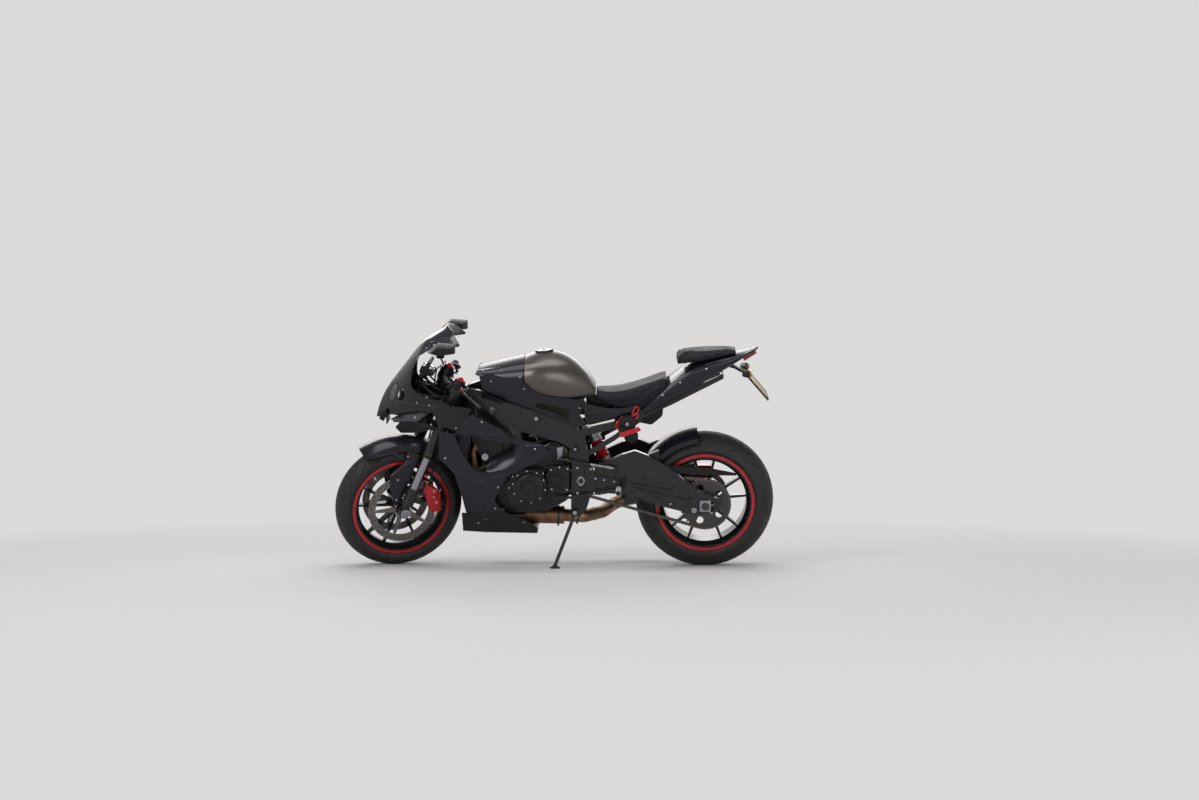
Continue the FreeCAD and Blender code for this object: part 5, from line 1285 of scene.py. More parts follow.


# Disc drillings, drawn as thin dark discs on the faces, a painted shade where the holes are: name, centre, body,
# sideways places of the faces, rows of (radius, count, first angle)
DRILLINGS = (
    ("front_disc_hole_shades", FRONT_AXLE, "front_wheel", (0.0685, 0.0635, -0.0635, -0.0685),
     ((0.137, 20, 0.0), (0.1445, 20, 0.105), (0.152, 20, 0.21))),
    ("rear_disc_hole_shades", REAR_AXLE, "rear_wheel", (-0.0975, -0.1025), ((0.092, 20, 0.0), (0.101, 20, 0.157))),
)


class BIKE_OT_wheel_parts(bpy.types.Operator):
    """Disc buttons and drillings, flange bolts, sprocket nuts, tone ring and tyre valves"""
    bl_idname = "bike.wheel_parts"
    bl_label = "Wheel parts"

    def execute(self, context):
        places, bolts = [], []
        for side in (1, -1):
            face = side * 0.0685
            places += [(spot, LEFT * side, 0.0068, 0.0014)
                       for spot in round_places(FRONT_AXLE, 0.1295, face, 5, 0.0)]
            bolts += [(spot, LEFT * side, 0.0052, 0.0038)
                      for spot in round_places(FRONT_AXLE, 0.0345, face, 5, 0.6)]
        screws("front_disc_buttons", "front_wheel", "silver", places, "bobbin")
        for name, centre, body, faces, rows in DRILLINGS:
            spots = [(spot, LEFT * math.copysign(1, face), 0.0031, 0.0003)
                     for face in faces for radius, count, start in rows
                     for spot in round_places(centre, radius, face, count, start)]
            screws(name, body, "plastic", spots, "hole")
        screws("front_disc_bolts", "front_wheel", "steel", bolts)
        rear = [(spot, -LEFT, 0.0052, 0.0038) for spot in round_places(REAR_AXLE, 0.0345, -0.1025, 5, 0.6)]
        screws("rear_disc_bolts", "rear_wheel", "steel", rear)
        nuts = [(spot, LEFT, 0.0072, 0.0065) for spot in round_places(REAR_AXLE, 0.047, 0.1135, 5, 0.3)]
        screws("sprocket_nuts", "rear_wheel", "steel", nuts, "nut")
        for centre, body, mark in ((FRONT_AXLE, "front_wheel", "front"), (REAR_AXLE, "rear_wheel", "rear")):
            out = spoke(VALVE_TURN)
            foot = centre + out * 0.176
            valve = rod(foot, foot + out * 0.024 + LEFT * 0.004, 0.0032, 12, 0.0006)
            cap = rod(foot - out * 0.01, foot + out * 0.002, 0.0042, 12, 0.0008)
            settle_all([valve, cap], mark + "_valve", body, "plastic")
        ring = spun([(0.0605, 0.03), (0.0605, 0.0385), (0.0622, 0.0385), (0.0622, 0.03)], FRONT_AXLE, 60)
        settle(ring, "front_tone_ring", "front_wheel", "steel")
        return {"FINISHED"}


def band(centre, axis, radius, width=0.006, height=0.0022):
    """Raised band round a pipe."""
    half = width / 2
    return spun([(-half, radius - 0.001), (-half * 0.8, radius + height), (half * 0.8, radius + height),
                 (half, radius - 0.001)], centre, 40, axis.normalized())


class BIKE_OT_exhaust_parts(bpy.types.Operator):
    """Weld beads, clamps and springs of the exhaust"""
    bl_idname = "bike.exhaust_parts"
    bl_label = "Exhaust parts"

    def execute(self, context):
        start, stop = mm(140, 0, 246), mm(-60, -10, 238)
        way = stop - start
        beads = [band(start.lerp(stop, share), way, 0.042, 0.004, 0.0012) for share in (0.03, 0.97)]
        beads += [band(mm(-92, -15, 234), mm(-92, -14, -10), 0.03, 0.004, 0.0012),
                  band(mm(-196, -72, 227), mm(-46, -50, 0), 0.03, 0.004, 0.0012)]
        settle_all(beads, "exhaust_welds", "root", "exhaust")
        clamps = [band(start.lerp(stop, 0.86), way, 0.0425, 0.013, 0.003),
                  band(mm(-120, -20, 231), mm(-92, -14, -10), 0.0305, 0.012, 0.003)]
        for place in (mm(-32, 8, 196), mm(-120, -2, 202)):
            clamps.append(rod(place - LEFT * 0.012, place + LEFT * 0.012, 0.0042, 12, 0.0006))
        can = mm(-336, -214, 262)
        along = mm(-330, -8, 156).normalized()
        clamps += [band(can + along * 0.012, along, 0.0352, 0.012, 0.0025),
                   band(can + along * 0.2, along, 0.0533, 0.022, 0.003),
                   band(can + along * 0.352, along, 0.0455, 0.008, 0.0025)]
        settle_all(clamps, "exhaust_clamps", "root", "dark_steel")
        return {"FINISHED"}


class BIKE_OT_arm_parts(bpy.types.Operator):
    """Ridges, axle plates and chain adjusters of the swingarm"""
    bl_idname = "bike.arm_parts"
    bl_label = "Swingarm parts"

    def execute(self, context):
        lines = (((-345, 434), (-443, 416), (-545, 397), (-572, 404), (-588, 434)),
                 ((-397, 406), (-535, 374), (-640, 346), (-668, 362), (-684, 380)),
                 ((-208, 508), (-330, 552), (-392, 569), (-446, 548), (-536, 497), (-668, 385)))
        ridges = [pipe([(x, 150.2, z) for x, z in line], 0.0021) for line in lines]
        settle(both(ridges), "swingarm_ridges", "root", "swingarm")
        panel = plate([(-420, 436), (-456, 492), (-590, 452), (-548, 430)], 148, 152.5, 0.0025)
        settle(both([panel]), "swingarm_panels", "root", "swingarm")
        ends = plates([(-741, 294), (-689, 294), (-689, 348), (-741, 348)], 153, 158, 0.0016)
        settle_all(ends, "axle_plates", "root", "silver")
        nuts = opposite([(mm(-716, 160.5, 320), LEFT, 0.0155, 0.0075)])
        screws("axle_nuts", "root", "dark_steel", nuts, "nut")
        adjusters = [rod(mm(-739, side * 136, 320), mm(-786, side * 136, 327), 0.004, 12, 0.0006)
                     for side in (1, -1)]
        adjusters += [rod(mm(-776, side * 136, 325.6), mm(-783, side * 136, 326.6), 0.0068, 6, 0.0008)
                      for side in (1, -1)]
        settle_all(adjusters, "chain_adjusters", "root", "steel")
        return {"FINISHED"}


class BIKE_OT_lock_parts(bpy.types.Operator):
    """Bolt, red bands and cord of the hanging lock"""
    bl_idname = "bike.lock_parts"
    bl_label = "Lock parts"

    def execute(self, context):
        x, y, z = -358, 156, 706
        dome = spun([(0.0, 0.0), (0.0045, 0.0), (0.0038, 0.016), (0.001, 0.03), (-0.004, 0.037),
                     (-0.012, 0.0405), (-0.012, 0.0)], mm(x, y, z), 48)
        low = spun([(0.0, 0.0), (0.0, 0.024), (-0.005, 0.031), (-0.018, 0.033), (-0.018, 0.0)],
                   mm(-376, 150, 646), 40)
        settle_all([dome, low], "lock_dome", "root", "plastic")
        bar = plate([(-320, 668), (-412, 697), (-422, 679), (-331, 646)], 158, 167.5, 0.003)
        arc = [math.radians(degrees) for degrees in range(60, -75, -15)]
        rim = hose([mm(x + 41.5 * math.cos(turn), 148, z + 41.5 * math.sin(turn)) for turn in arc], 0.0032, 6)
        settle_all([bar, rim], "lock_red_bands", "root", "red")
        loops = [pipe(line, 0.003) for line in (
            ((-384, 138, 726), (-377, 146, 748), (-386, 150, 768), (-396, 150, 790), (-409, 150, 786),
             (-411, 148, 768), (-400, 146, 752), (-386, 144, 744)),
            ((-380, 140, 722), (-398, 150, 728), (-410, 150, 744), (-400, 146, 756), (-382, 142, 748)),
            ((-314, 150, 718), (-306, 154, 706), (-308, 154, 690), (-318, 150, 680)))]
        settle_all(loops, "lock_cord", "root", "red")
        screws("lock_bolt", "root", "steel", [(mm(x, y + 4.2, z + 2), LEFT, 0.0075, 0.006)], "cap")
        return {"FINISHED"}


class BIKE_OT_frame_parts(bpy.types.Operator):
    """Bolt rings, pivot bolts, shift rod and grille mesh of the frame"""
    bl_idname = "bike.frame_parts"
    bl_label = "Frame parts"

    def execute(self, context):
        rings = []
        for x, z, radius in ((56, 739, 0.0135), (64, 639, 0.0122), (-118, 590, 0.011)):
            section = [(-0.003, radius), (0.0016, radius), (0.0016, radius + 0.0035),
                       (-0.003, radius + 0.005)]
            for side in (1, -1):
                rings += [spun(section, spot, 32, LEFT * side)
                          for spot, out in side_hits(["frame"], [(x, z)], side)]
        settle_all(rings, "bolt_rings", "root", "plastic")
        pivots = opposite([(mm(-144, 151.6, 440), LEFT, 0.0125, 0.008)])
        screws("pivot_bolts", "root", "dark_steel", pivots, "cap")
        eyes = [(mm(-144, side * 151.6, 440 + up), LEFT * side, 0.0042, 0.0025)
                for side in (1, -1) for up in (-24, 24)]
        screws("pivot_plate_screws", "root", "dark_steel", eyes)
        bars = [rod(mm(-190, 170, 522), mm(-296, 170, 505), 0.0062, 20, 0.0008),
                rod(mm(-262, 170, 510), mm(-292, 170, 505.6), 0.0098, 6, 0.0008),
                rod(mm(-196, 170, 521), mm(-214, 170, 518), 0.0092, 6, 0.0008),
                rod(mm(-40, 150, 548), mm(-104, 146, 532), 0.0058, 18, 0.0008)]
        settle_all(bars, "shift_rod", "root", "silver")
        bracket = [plate([(-34, 598), (-64, 600), (-60, 566), (-40, 556)], 146, 152, 0.0012),
                   plate([(-40, 560), (-60, 566), (-52, 540), (-36, 540)], 144, 150, 0.0012),
                   rod(mm(-49, 140, 584), mm(-49, 157, 584), 0.0085, 20, 0.001)]
        settle_all(bracket, "rod_bracket", "root", "silver")
        mesh = []
        for side in (1, -1):
            for row in range(3):
                for column in range(10):
                    x = 48 - column * 13.5 - row * 6.7
                    z = 799 - row * 11.5 - (48 - x) * 0.315
                    mesh.append(spun([(-0.001, 0.0046), (0.001, 0.0046), (0.001, 0.0062), (-0.001, 0.0062)],
                                     mm(x, side * 151, z), 6))
        settle_all(mesh, "trim_grille_mesh", "root", "plastic")
        back = plates([(64, 818), (66, 782), (-92, 736), (-98, 780)], 140, 144)
        settle_all(back, "trim_grille_back", "root", "plastic")
        return {"FINISHED"}


# Hoses beside the engine: (x, y, z) places in mm on the left, radius
ENGINE_HOSES = (
    (((384, 128, 690), (352, 150, 712), (306, 158, 700), (262, 150, 668), (236, 140, 640)), 0.014),
    (((398, 132, 450), (352, 152, 470), (300, 156, 508), (258, 150, 520)), 0.013),
    (((-64, 128, 612), (-30, 140, 640), (30, 146, 634), (90, 146, 600), (150, 150, 560)), 0.006),
    (((-90, 118, 660), (-104, 138, 630), (-96, 144, 580), (-80, 140, 540)), 0.005),
    (((-96, 112, 680), (-60, 136, 648), (-10, 142, 660), (40, 140, 690)), 0.0045),
)


class BIKE_OT_castings(bpy.types.Operator):
    """Engine castings, starter, water pump, fins and hoses behind the fairings"""
    bl_idname = "bike.castings"
    bl_label = "Engine castings"

    def execute(self, context):
        made = plates([(6, 520), (-92, 520), (-98, 548), (-70, 590), (-10, 612), (40, 590), (96, 540)],
                      96, 138, 0.004)
        for side in (1, -1):
            made.append(rod(mm(96, side * 100, 566), mm(96, side * 160, 566), 0.03, 40, 0.004))
            made.append(rod(mm(20, side * 96, 560), mm(20, side * 150, 560), 0.034, 40, 0.004))
        made.append(plate([(-78, 520), (-78, 350), (-112, 354), (-120, 400), (-112, 470), (-108, 524)],
                          -90, 64, 0.004))
        made += plates([(200, 540), (262, 452), (340, 636), (318, 676), (232, 712)], 136, 146, 0.004)
        for row in range(6):
            z = 560 + row * 15
            x = 252 + (z - 560) * 0.42
            made.append(plate([(x - 38, z + 14), (x + 34, z - 16), (x + 35, z - 12.5), (x - 37, z + 17.5)],
                              -147, 147, 0.0006))
        settle_all(made, "engine_castings", "root", "engine")
        lines = [pipe(line, radius, side) for side in (1, -1) for line, radius in ENGINE_HOSES]
        settle_all(lines, "engine_hoses", "root", "hose")
        return {"FINISHED"}


# Painted highlights, thin pale lines on creases and edges of the bodywork that stand for the light they catch:
# nodes, body, radius in mm, (x, z) places
HIGHLIGHT_LINES = (
    (("side_fairing",), "root", 1.5, ((437, 690), (219, 639), (11, 625))),
    (("side_fairing",), "root", 1.1, ((494, 543), (341, 451), (202, 489))),
    (("side_fairing", "belly_pan"), "root", 1.1, ((239, 401), (312, 261), (286, 265))),
    (("frame",), "root", 1.2, ((351, 735), (224, 679), (42, 604), (14, 586))),
    (("frame_trims",), "root", 1.2, ((259, 772), (132, 734), (-5, 706), (-142, 697))),
    (("nose_fairing",), "root", 1.4, ((734, 800), (600, 806), (500, 800))),
    (("tail_fairing",), "root", 1.2, ((-470, 830), (-600, 912), (-740, 966), (-850, 1004))),
    (("front_mudguard",), "fork", 1.4, ((886, 614), (826, 579), (742, 585), (692, 532), (642, 523))),
    (("front_mudguard",), "fork", 1.4, ((692, 532), (767, 473))),
)


class BIKE_OT_body_lines(bpy.types.Operator):
    """Thin raised lines on the creases and edges of the bodywork, in a paler paint: painted highlights for the
    light those edges catch
    """
    bl_idname = "bike.body_lines"
    bl_label = "Body lines"

    def execute(self, context):
        made = {"root": [], "fork": []}
        for nodes, body, radius, line in HIGHLIGHT_LINES:
            for side in (1, -1):
                made[body] += laid(nodes, close_places(line), side, radius * MM, body)
        settle_all(made["root"], "body_lines", "root", "winglet")
        settle_all(made["fork"], "mudguard_highlight_lines", "fork", "winglet")
        return {"FINISHED"}


# Panel under the seat, from its foot up, and its inset, as places in mm on the left
SIDE_PANEL = (
    ((-166, 118, 692), (-196, 124, 698), (-246, 127, 712), (-320, 128, 730), (-392, 124, 758)),
    ((-162, 130, 728), (-210, 135, 728), (-268, 136, 732), (-336, 134, 742), (-400, 128, 764)),
    ((-160, 130, 770), (-220, 136, 758), (-290, 138, 752), (-350, 136, 756), (-414, 129, 776)),
    ((-158, 122, 806), (-220, 128, 786), (-290, 132, 776), (-360, 131, 780), (-430, 125, 796)),
)
SIDE_INSET = ((-150, 792), (-290, 764), (-262, 752), (-176, 736), (-144, 760))


class BIKE_OT_side_panels(bpy.types.Operator):
    """Curved panels under the rider's seat, with their inset"""
    bl_idname = "bike.side_panels"
    bl_label = "Seat side panels"

    def execute(self, context):
        panels, insets = [], []
        for side in (1, -1):
            rows = [[(x, side * y, z) for x, y, z in line] for line in SIDE_PANEL]
            panels.append(draped(rows, 2.6, 2))
            insets.append(pipe([(x, 139, z) for x, z in SIDE_INSET + SIDE_INSET[:1]], 0.0016, side))
        settle_all(panels, "seat_side_panels", "root", "body")
        settle_all(insets, "side_panel_lines", "root", "plastic")
        return {"FINISHED"}


# Front end, in the fork's own straight-ahead places
def leg(up, side=105.0, ahead=0.0):
    """Point up a fork leg, in millimetres from the front axle."""
    return FRONT_AXLE + UP_FORK * up * MM + LEFT * side * MM + FORWARD_FORK * ahead * MM


TOP = 628.3
BAR_START = leg(TOP + 29, 105, -20)
BAR_STOP = BAR_START + mm(-76, 232, -44)
BAR_WAY = (BAR_STOP - BAR_START).normalized()


def ribbed(centre, axis, length, radius, ribs, depth=0.0008):
    """Sleeve with rounded ribs along an axis."""
    section = [(0.0, radius * 0.7), (0.0, radius)]
    for number in range(ribs):
        at = length * (number + 0.5) / ribs
        half = length / ribs * 0.28
        section += [(at - half, radius), (at - half * 0.7, radius + depth), (at + half * 0.7, radius + depth),
                    (at + half, radius)]
    section += [(length, radius), (length, radius * 0.7)]
    return spun(section, centre, 32, axis)


class BIKE_OT_bar_parts(bpy.types.Operator):
    """Grips, bar ends, switch pods, lever blades, cables and fork caps"""
    bl_idname = "bike.bar_parts"
    bl_label = "Bar parts"

    def execute(self, context):
        self.add_grips()
        self.add_switches()
        perch = BAR_STOP - BAR_WAY * 0.194
        self.add_levers(perch)
        self.add_yoke_parts()
        self.add_cables(perch, context.scene.bike_sizes.brake_line)
        return {"FINISHED"}

    def add_grips(self):
        """Ribbed grips with their flanges, and the weights at the bar ends."""
        grip = ribbed(BAR_STOP - BAR_WAY * 0.128, BAR_WAY, 0.119, 0.0166, 22)
        flange = spun([(-0.136, 0.012), (-0.136, 0.021), (-0.131, 0.022), (-0.128, 0.021), (-0.128, 0.012)],
                      BAR_STOP, 32, BAR_WAY)
        settle(both([grip, flange]), "grips", "fork", "grip")
        weight = spun([(-0.006, 0.006), (-0.006, 0.0155), (-0.001, 0.0162), (0.006, 0.0155), (0.0075, 0.0172),
                       (0.013, 0.0168), (0.0165, 0.011), (0.0165, 0.0045), (0.012, 0.004), (0.012, 0.0)],
                      BAR_STOP, 32, BAR_WAY, False)
        settle(both([weight]), "bar_ends", "fork", "dark_steel")

    def add_switches(self):
        """Switch pods with their buttons, and the red stop switch."""
        pod_at = BAR_STOP - BAR_WAY * 0.151
        pod = block(pod_at + UP_FORK * 0.004, axes(FORWARD_FORK, BAR_WAY), (0.05, 0.034, 0.05), 0.006, 3)
        rear = pod_at - FORWARD_FORK * 0.026
        buttons = []
        for along, up, radius in ((-0.008, 0.012, 0.0048), (0.008, 0.013, 0.0042), (0.0, -0.006, 0.0055),
                                  (0.006, -0.019, 0.0036)):
            spot = rear + BAR_WAY * along + UP_FORK * up
            buttons.append(rod(spot, spot - FORWARD_FORK * 0.0045, radius, 16, 0.0008))
        settle(both([pod]), "switch_pods", "fork", "plastic")
        settle(both(buttons), "switch_buttons", "fork", "grip")
        stop = rear + UP_FORK * 0.018
        kill = flipped(rod(stop, stop - FORWARD_FORK * 0.007, 0.0056, 20, 0.001))
        settle(kill, "stop_switch", "fork", "red")

    def add_levers(self, perch):
        """Lever blades with their pivots and red span adjusters."""
        pivot = perch + BAR_WAY * 0.006 + FORWARD_FORK * 0.044 - UP_FORK * 0.004
        tip = BAR_STOP - BAR_WAY * 0.01 + FORWARD_FORK * 0.052 - UP_FORK * 0.008
        knee = pivot + BAR_WAY * 0.04 + FORWARD_FORK * 0.016
        adjuster = rod(pivot + BAR_WAY * 0.012 + FORWARD_FORK * 0.004,
                       pivot + BAR_WAY * 0.026 + FORWARD_FORK * 0.01, 0.0088, 20, 0.001)
        settle(both([adjuster]), "lever_adjusters", "fork", "red")
        pivots = opposite([(pivot + UP_FORK * 0.009, UP_FORK, 0.0062, 0.004)])
        screws("lever_pivots", "fork", "steel", pivots)
        blades = [rod(pivot, knee, 0.0075, 16, 0.001), rod(knee, tip, 0.007, 16, 0.001)]
        settle(both(blades), "lever_blades", "fork", "frame")

    def add_yoke_parts(self):
        """Fork caps and adjusters, stem nut and ignition lock."""
        rings = [rod(leg(TOP + 50), leg(TOP + 57), 0.0245, 6, 0.0015),
                 rod(leg(TOP + 56), leg(TOP + 64), 0.0125, 24, 0.0015)]
        settle(both(rings), "fork_caps", "fork", "red")
        adjuster = rod(leg(TOP + 63), leg(TOP + 68), 0.0055, 6, 0.0006)
        settle(both([adjuster]), "fork_adjusters", "fork", "silver")
        stem = leg(TOP, 0, -34.3)
        nut = rod(stem + UP_FORK * 0.01, stem + UP_FORK * 0.024, 0.019, 6, 0.002)
        settle(nut, "stem_nut", "fork", "silver")
        lock = leg(TOP + 12, 0, 4)
        settle(rod(lock, lock + UP_FORK * 0.012, 0.016, 32, 0.002), "ignition_lock", "fork", "frame")
        barrel = rod(lock + UP_FORK * 0.0118, lock + UP_FORK * 0.0134, 0.0105, 24, 0.0005)
        settle(barrel, "ignition_barrel", "fork", "silver")

    def add_cables(self, perch, radius):
        """Brake lines and cables from the lever perches down between the fork legs."""
        line = hose([perch + BAR_WAY * 0.01 + FORWARD_FORK * 0.05,
                     perch + FORWARD_FORK * 0.074 - BAR_WAY * 0.03,
                     leg(TOP + 8, 70, 62), leg(TOP - 50, 48, 52), leg(TOP - 130, 52, 44),
                     leg(TOP - 190, 60, 34)], radius, 10)
        cable = hose([perch + BAR_WAY * 0.016 + FORWARD_FORK * 0.024,
                      perch + FORWARD_FORK * 0.06 - BAR_WAY * 0.05 - UP_FORK * 0.01,
                      leg(TOP - 14, 50, 50), leg(TOP - 70, 30, 36), leg(TOP - 150, 30, 30)], 0.003, 10)
        settle(both([line, cable]), "bar_cables", "fork", "hose")


class BIKE_OT_fork_parts(bpy.types.Operator):
    """Dust seals, clamp bolts, axle nuts and caliper fittings"""
    bl_idname = "bike.fork_parts"
    bl_label = "Fork parts"

    def execute(self, context):
        seal = spun([(0.0, 0.02), (0.0, 0.0285), (0.007, 0.0292), (0.012, 0.0285), (0.012, 0.02)],
                    leg(284), 40, UP_FORK)
        settle(both([seal]), "dust_seals", "fork", "hose")
        tube_band = spun([(0.0, 0.026), (0.0, 0.0278), (0.006, 0.0278), (0.006, 0.026)],
                         leg(300), 40, UP_FORK)
        settle(both([tube_band]), "tube_bands", "fork", "dark_steel")
        bolts = [(leg(up, 125, -30), -FORWARD_FORK, 0.0046, 0.004)
                 for up in (TOP - 7, TOP + 7, TOP - 207, TOP - 193)]
        bolts += [(leg(up, 128, -14), LEFT, 0.005, 0.004) for up in (14, 34)]
        screws("clamp_bolts", "fork", "steel", opposite(bolts), "cap")
        pistons, plugs = [], []
        for dx, dz in ((-148, 84), (-158, 26)):
            centre = FRONT_AXLE + mm(dx, 92, dz)
            pistons.append(spun([(-0.002, 0.0165), (0.0025, 0.0165), (0.0032, 0.0155), (0.0032, 0.0),
                                 (-0.002, 0.0)], centre, 36))
            plugs.append(rod(centre + LEFT * 0.003, centre + LEFT * 0.0048, 0.0068, 6, 0.0004))
        bridge = plate([(FRONT_AXLE.x * 1000 + dx, FRONT_AXLE.z * 1000 + dz) for dx, dz in
                        ((-116, 122), (-170, 76), (-176, -14), (-136, -20), (-122, 30), (-104, 76))],
                       91, 94, 0.002)
        settle(both(pistons + [bridge]), "caliper_faces", "fork", "red")
        settle(both(plugs), "caliper_plugs", "fork", "steel")
        nipple = [rod(FRONT_AXLE + mm(-172, 84, 74), FRONT_AXLE + mm(-184, 84, 86), 0.004, 6, 0.0004),
                  rod(FRONT_AXLE + mm(-146, 96, 55), FRONT_AXLE + mm(-146, 99, 55), 0.005, 12, 0.0005)]
        settle(both(nipple), "caliper_nipples", "fork", "steel")
        nuts = opposite([(FRONT_AXLE + LEFT * 0.1335, LEFT, 0.015, 0.007)])
        screws("front_axle_nuts", "fork", "silver", nuts, "nut")
        fender = []
        for side in (1, -1):
            starts = [FRONT_AXLE + mm(dx, side * 300, dz)
                      for dx, dz in ((-30, 262), (20, 150), (28, 52), (-52, 156))]
            fender += [(spot, out, 0.0048, 0.0036)
                       for spot, out in landed(["front_mudguard"], starts, Vector((0, -side, 0)), "fork")]
        screws("mudguard_screws", "fork", "steel", fender)
        return {"FINISHED"}


# Rim of the fairing round the cockpit, and its wiring with radii
COCKPIT_EDGE = ((597, 1010), (620, 963), (630, 912), (624, 878), (589, 840), (489, 825), (445, 810),
                (366, 776))
COCKPIT_LOOMS = (
    (((600, 60, 900), (560, 84, 850), (500, 96, 820), (448, 92, 800)), 0.006),
    (((640, 96, 860), (590, 120, 838), (520, 120, 830), (450, 104, 826)), 0.0045),
    (((570, 40, 912), (548, 62, 874), (500, 60, 846), (462, 48, 820)), 0.004),
    (((612, 140, 850), (560, 150, 822), (498, 140, 812), (440, 128, 790)), 0.005),
)


class BIKE_OT_cockpit(bpy.types.Operator):
    """Gauge pod and dial, screen screws, fairing lip, mirror glasses and wiring"""
    bl_idname = "bike.cockpit"
    bl_label = "Cockpit"

    def execute(self, context):
        pod = plate([(590, 914), (598, 938), (588, 962), (532, 936), (530, 918)], -66, 66, 0.005)
        settle(pod, "gauge_pod", "root", "plastic")
        normal, slope = Vector((-0.42, 0, 0.907)), Vector((0.907, 0, 0.42))
        centre = mm(560, 22, 949.8)
        dial = spun([(-0.002, 0.0), (-0.002, 0.031), (0.003, 0.031), (0.003, 0.0285), (0.0012, 0.0275),
                     (0.0012, 0.0)], centre, 48, normal)
        settle(dial, "gauge_dial", "root", "lens")
        corners = [centre - LEFT * 0.04 + slope * a + LEFT * b for a, b in
                   ((-0.022, -0.034), (0.022, -0.034), (0.022, 0.002), (-0.022, 0.002))]
        settle(slab(corners, normal * 0.0022, 0.0008), "gauge_display", "root", "mirror")
        hub = centre + normal * 0.002
        settle(rod(hub, hub + slope * 0.018 + LEFT * 0.01, 0.0008, 8), "gauge_needle", "root", "red")
        lips, screen_screws, mirrors, looms = [], [], [], []
        for side in (1, -1):
            lips += laid(["nose_fairing"], [(x + 3, z - 2) for x, z in COCKPIT_EDGE], side, 0.0028)
            places = ((630, 1000), (668, 962), (704, 906), (560, 1052), (478, 1078))
            screen_screws += [(spot, out, 0.0042, 0.003)
                              for spot, out in side_hits(["windscreen", "nose_fairing"], places, side)]
            rows = [[(430, side * y, 1076 + 10 * up - abs(y - 330) * 0.06), (428, side * y, 1082 + 10 * up),
                     (430, side * y, 1096 + 4 * up)] for y, up in ((284, 0), (310, 1), (345, 1), (384, 0))]
            mirrors.append(draped(rows, 2.0, 1))
            looms += [pipe(line, radius, side) for line, radius in COCKPIT_LOOMS]
        settle_all(lips, "cockpit_lips", "root", "plastic")
        screws("screen_screws", "root", "steel", screen_screws)
        settle_all(mirrors, "mirror_glasses", "root", "mirror")
        settle_all(looms, "cockpit_wiring", "root", "hose")
        return {"FINISHED"}


# Lines of the nose, as (x, z) places in mm: lamp edge, creases, and the winglet's panel from below
LAMP_OUTLINE = ((746, 800), (752, 814), (738, 846), (716, 886), (694, 882), (700, 850), (708, 828),
                (722, 792))
NOSE_CREASES = (((700, 742), (640, 764), (560, 782), (500, 792)), ((770, 770), (700, 800), (600, 818)),
                ((690, 716), (640, 724), (590, 738)))
WINGLET_ROWS = (((728, 706), (700, 704), (660, 708), (622, 714), (600, 718)),
                ((716, 724), (690, 722), (650, 730), (612, 738), (575, 744)),
                ((700, 738), (672, 744), (632, 752), (590, 762), (545, 770)))


class BIKE_OT_nose_parts(bpy.types.Operator):
    """Lamp bowls and projectors, lamp rims, winglet panels, intake vanes and nose creases"""
    bl_idname = "bike.nose_parts"
    bl_label = "Nose parts"

    def execute(self, context):
        self.add_lamps()
        rims, creases = [], []
        for side in (1, -1):
            rims += laid(["nose_fairing", "lamps"], LAMP_OUTLINE + LAMP_OUTLINE[:2], side, 0.0022)
            for line in NOSE_CREASES:
                creases += laid(["nose_fairing", "chin_ducts"], line, side, 0.0016)
        settle_all(rims, "lamp_rims", "root", "plastic")
        self.add_winglets()
        settle_all(creases, "nose_creases", "root", "body")
        intake = [plate([(770, 700), (790, 712), (786, 742), (760, 752)], y - 1, y + 1, 0.0005)
                  for y in range(-44, 45, 22)]
        intake.append(plate([(752, 690), (756, 690), (758, 760), (754, 760)], -58, 58, 0.0008))
        settle_all(intake, "intake_vanes", "root", "plastic")
        return {"FINISHED"}

    def add_lamps(self):
        """Two lamps a side, each a bowl, a ring and a projector."""
        bowls, rings, lights = [], [], []
        for side in (1, -1):
            for x, y, z, radius in ((700, 66, 826, 0.026), (690, 104, 838, 0.022)):
                centre = mm(x, side * y, z)
                aim = Vector((0.93, side * 0.3, 0.2)).normalized()
                bowls.append(spun([(-0.03, 0.0), (-0.026, radius * 0.6), (-0.006, radius + 0.004),
                                   (0.0, radius + 0.004), (0.0, radius), (-0.008, radius * 0.9),
                                   (-0.022, 0.0)], centre, 36, aim))
                rings.append(spun([(-0.002, radius), (0.002, radius), (0.002, radius - 0.002),
                                   (-0.002, radius - 0.002)], centre, 36, aim))
                lights.append(spun([(-0.012, 0.0), (-0.012, radius * 0.8), (-0.006, radius * 0.8),
                                    (0.001, radius * 0.55), (0.004, 0.0)], centre, 36, aim))
        settle_all(bowls, "lamp_bowls", "root", "plastic")
        settle_all(rings, "lamp_rings", "root", "silver")
        settle_all(lights, "lamp_projectors", "root", "mirror")

    def add_winglets(self):
        """Raised panel of each winglet, with two screws."""
        panels, heads = [], []
        for side in (1, -1):
            rows = []
            for line in WINGLET_ROWS:
                row = []
                for x, z in line:
                    found = side_hits(["chin_ducts", "nose_fairing"], [(x, z)], side)
                    y = found[0][0].y * 1000 if found else side * (110 + (720 - x) * 0.3)
                    row.append((x, y + side * 3.5, z))
                rows.append(row)
            panels.append(draped(rows, 2.4, 2))
            heads += [(mm(x, y + side * 1.0, z), LEFT * side, 0.0052, 0.0036) for x, y, z in rows[1][1::2]]
        screws("winglet_screws", "root", "steel", heads)
        settle_all(panels, "winglet_panels", "root", "winglet")


# Creases of the tail, and how far the number plate reaches down
TAIL_LINES = (((-470, 792), (-560, 850), (-680, 918), (-800, 966), (-930, 1020)),
              ((-560, 896), (-660, 950), (-780, 1000), (-900, 1036)))
PLATE_FALL = 0.166


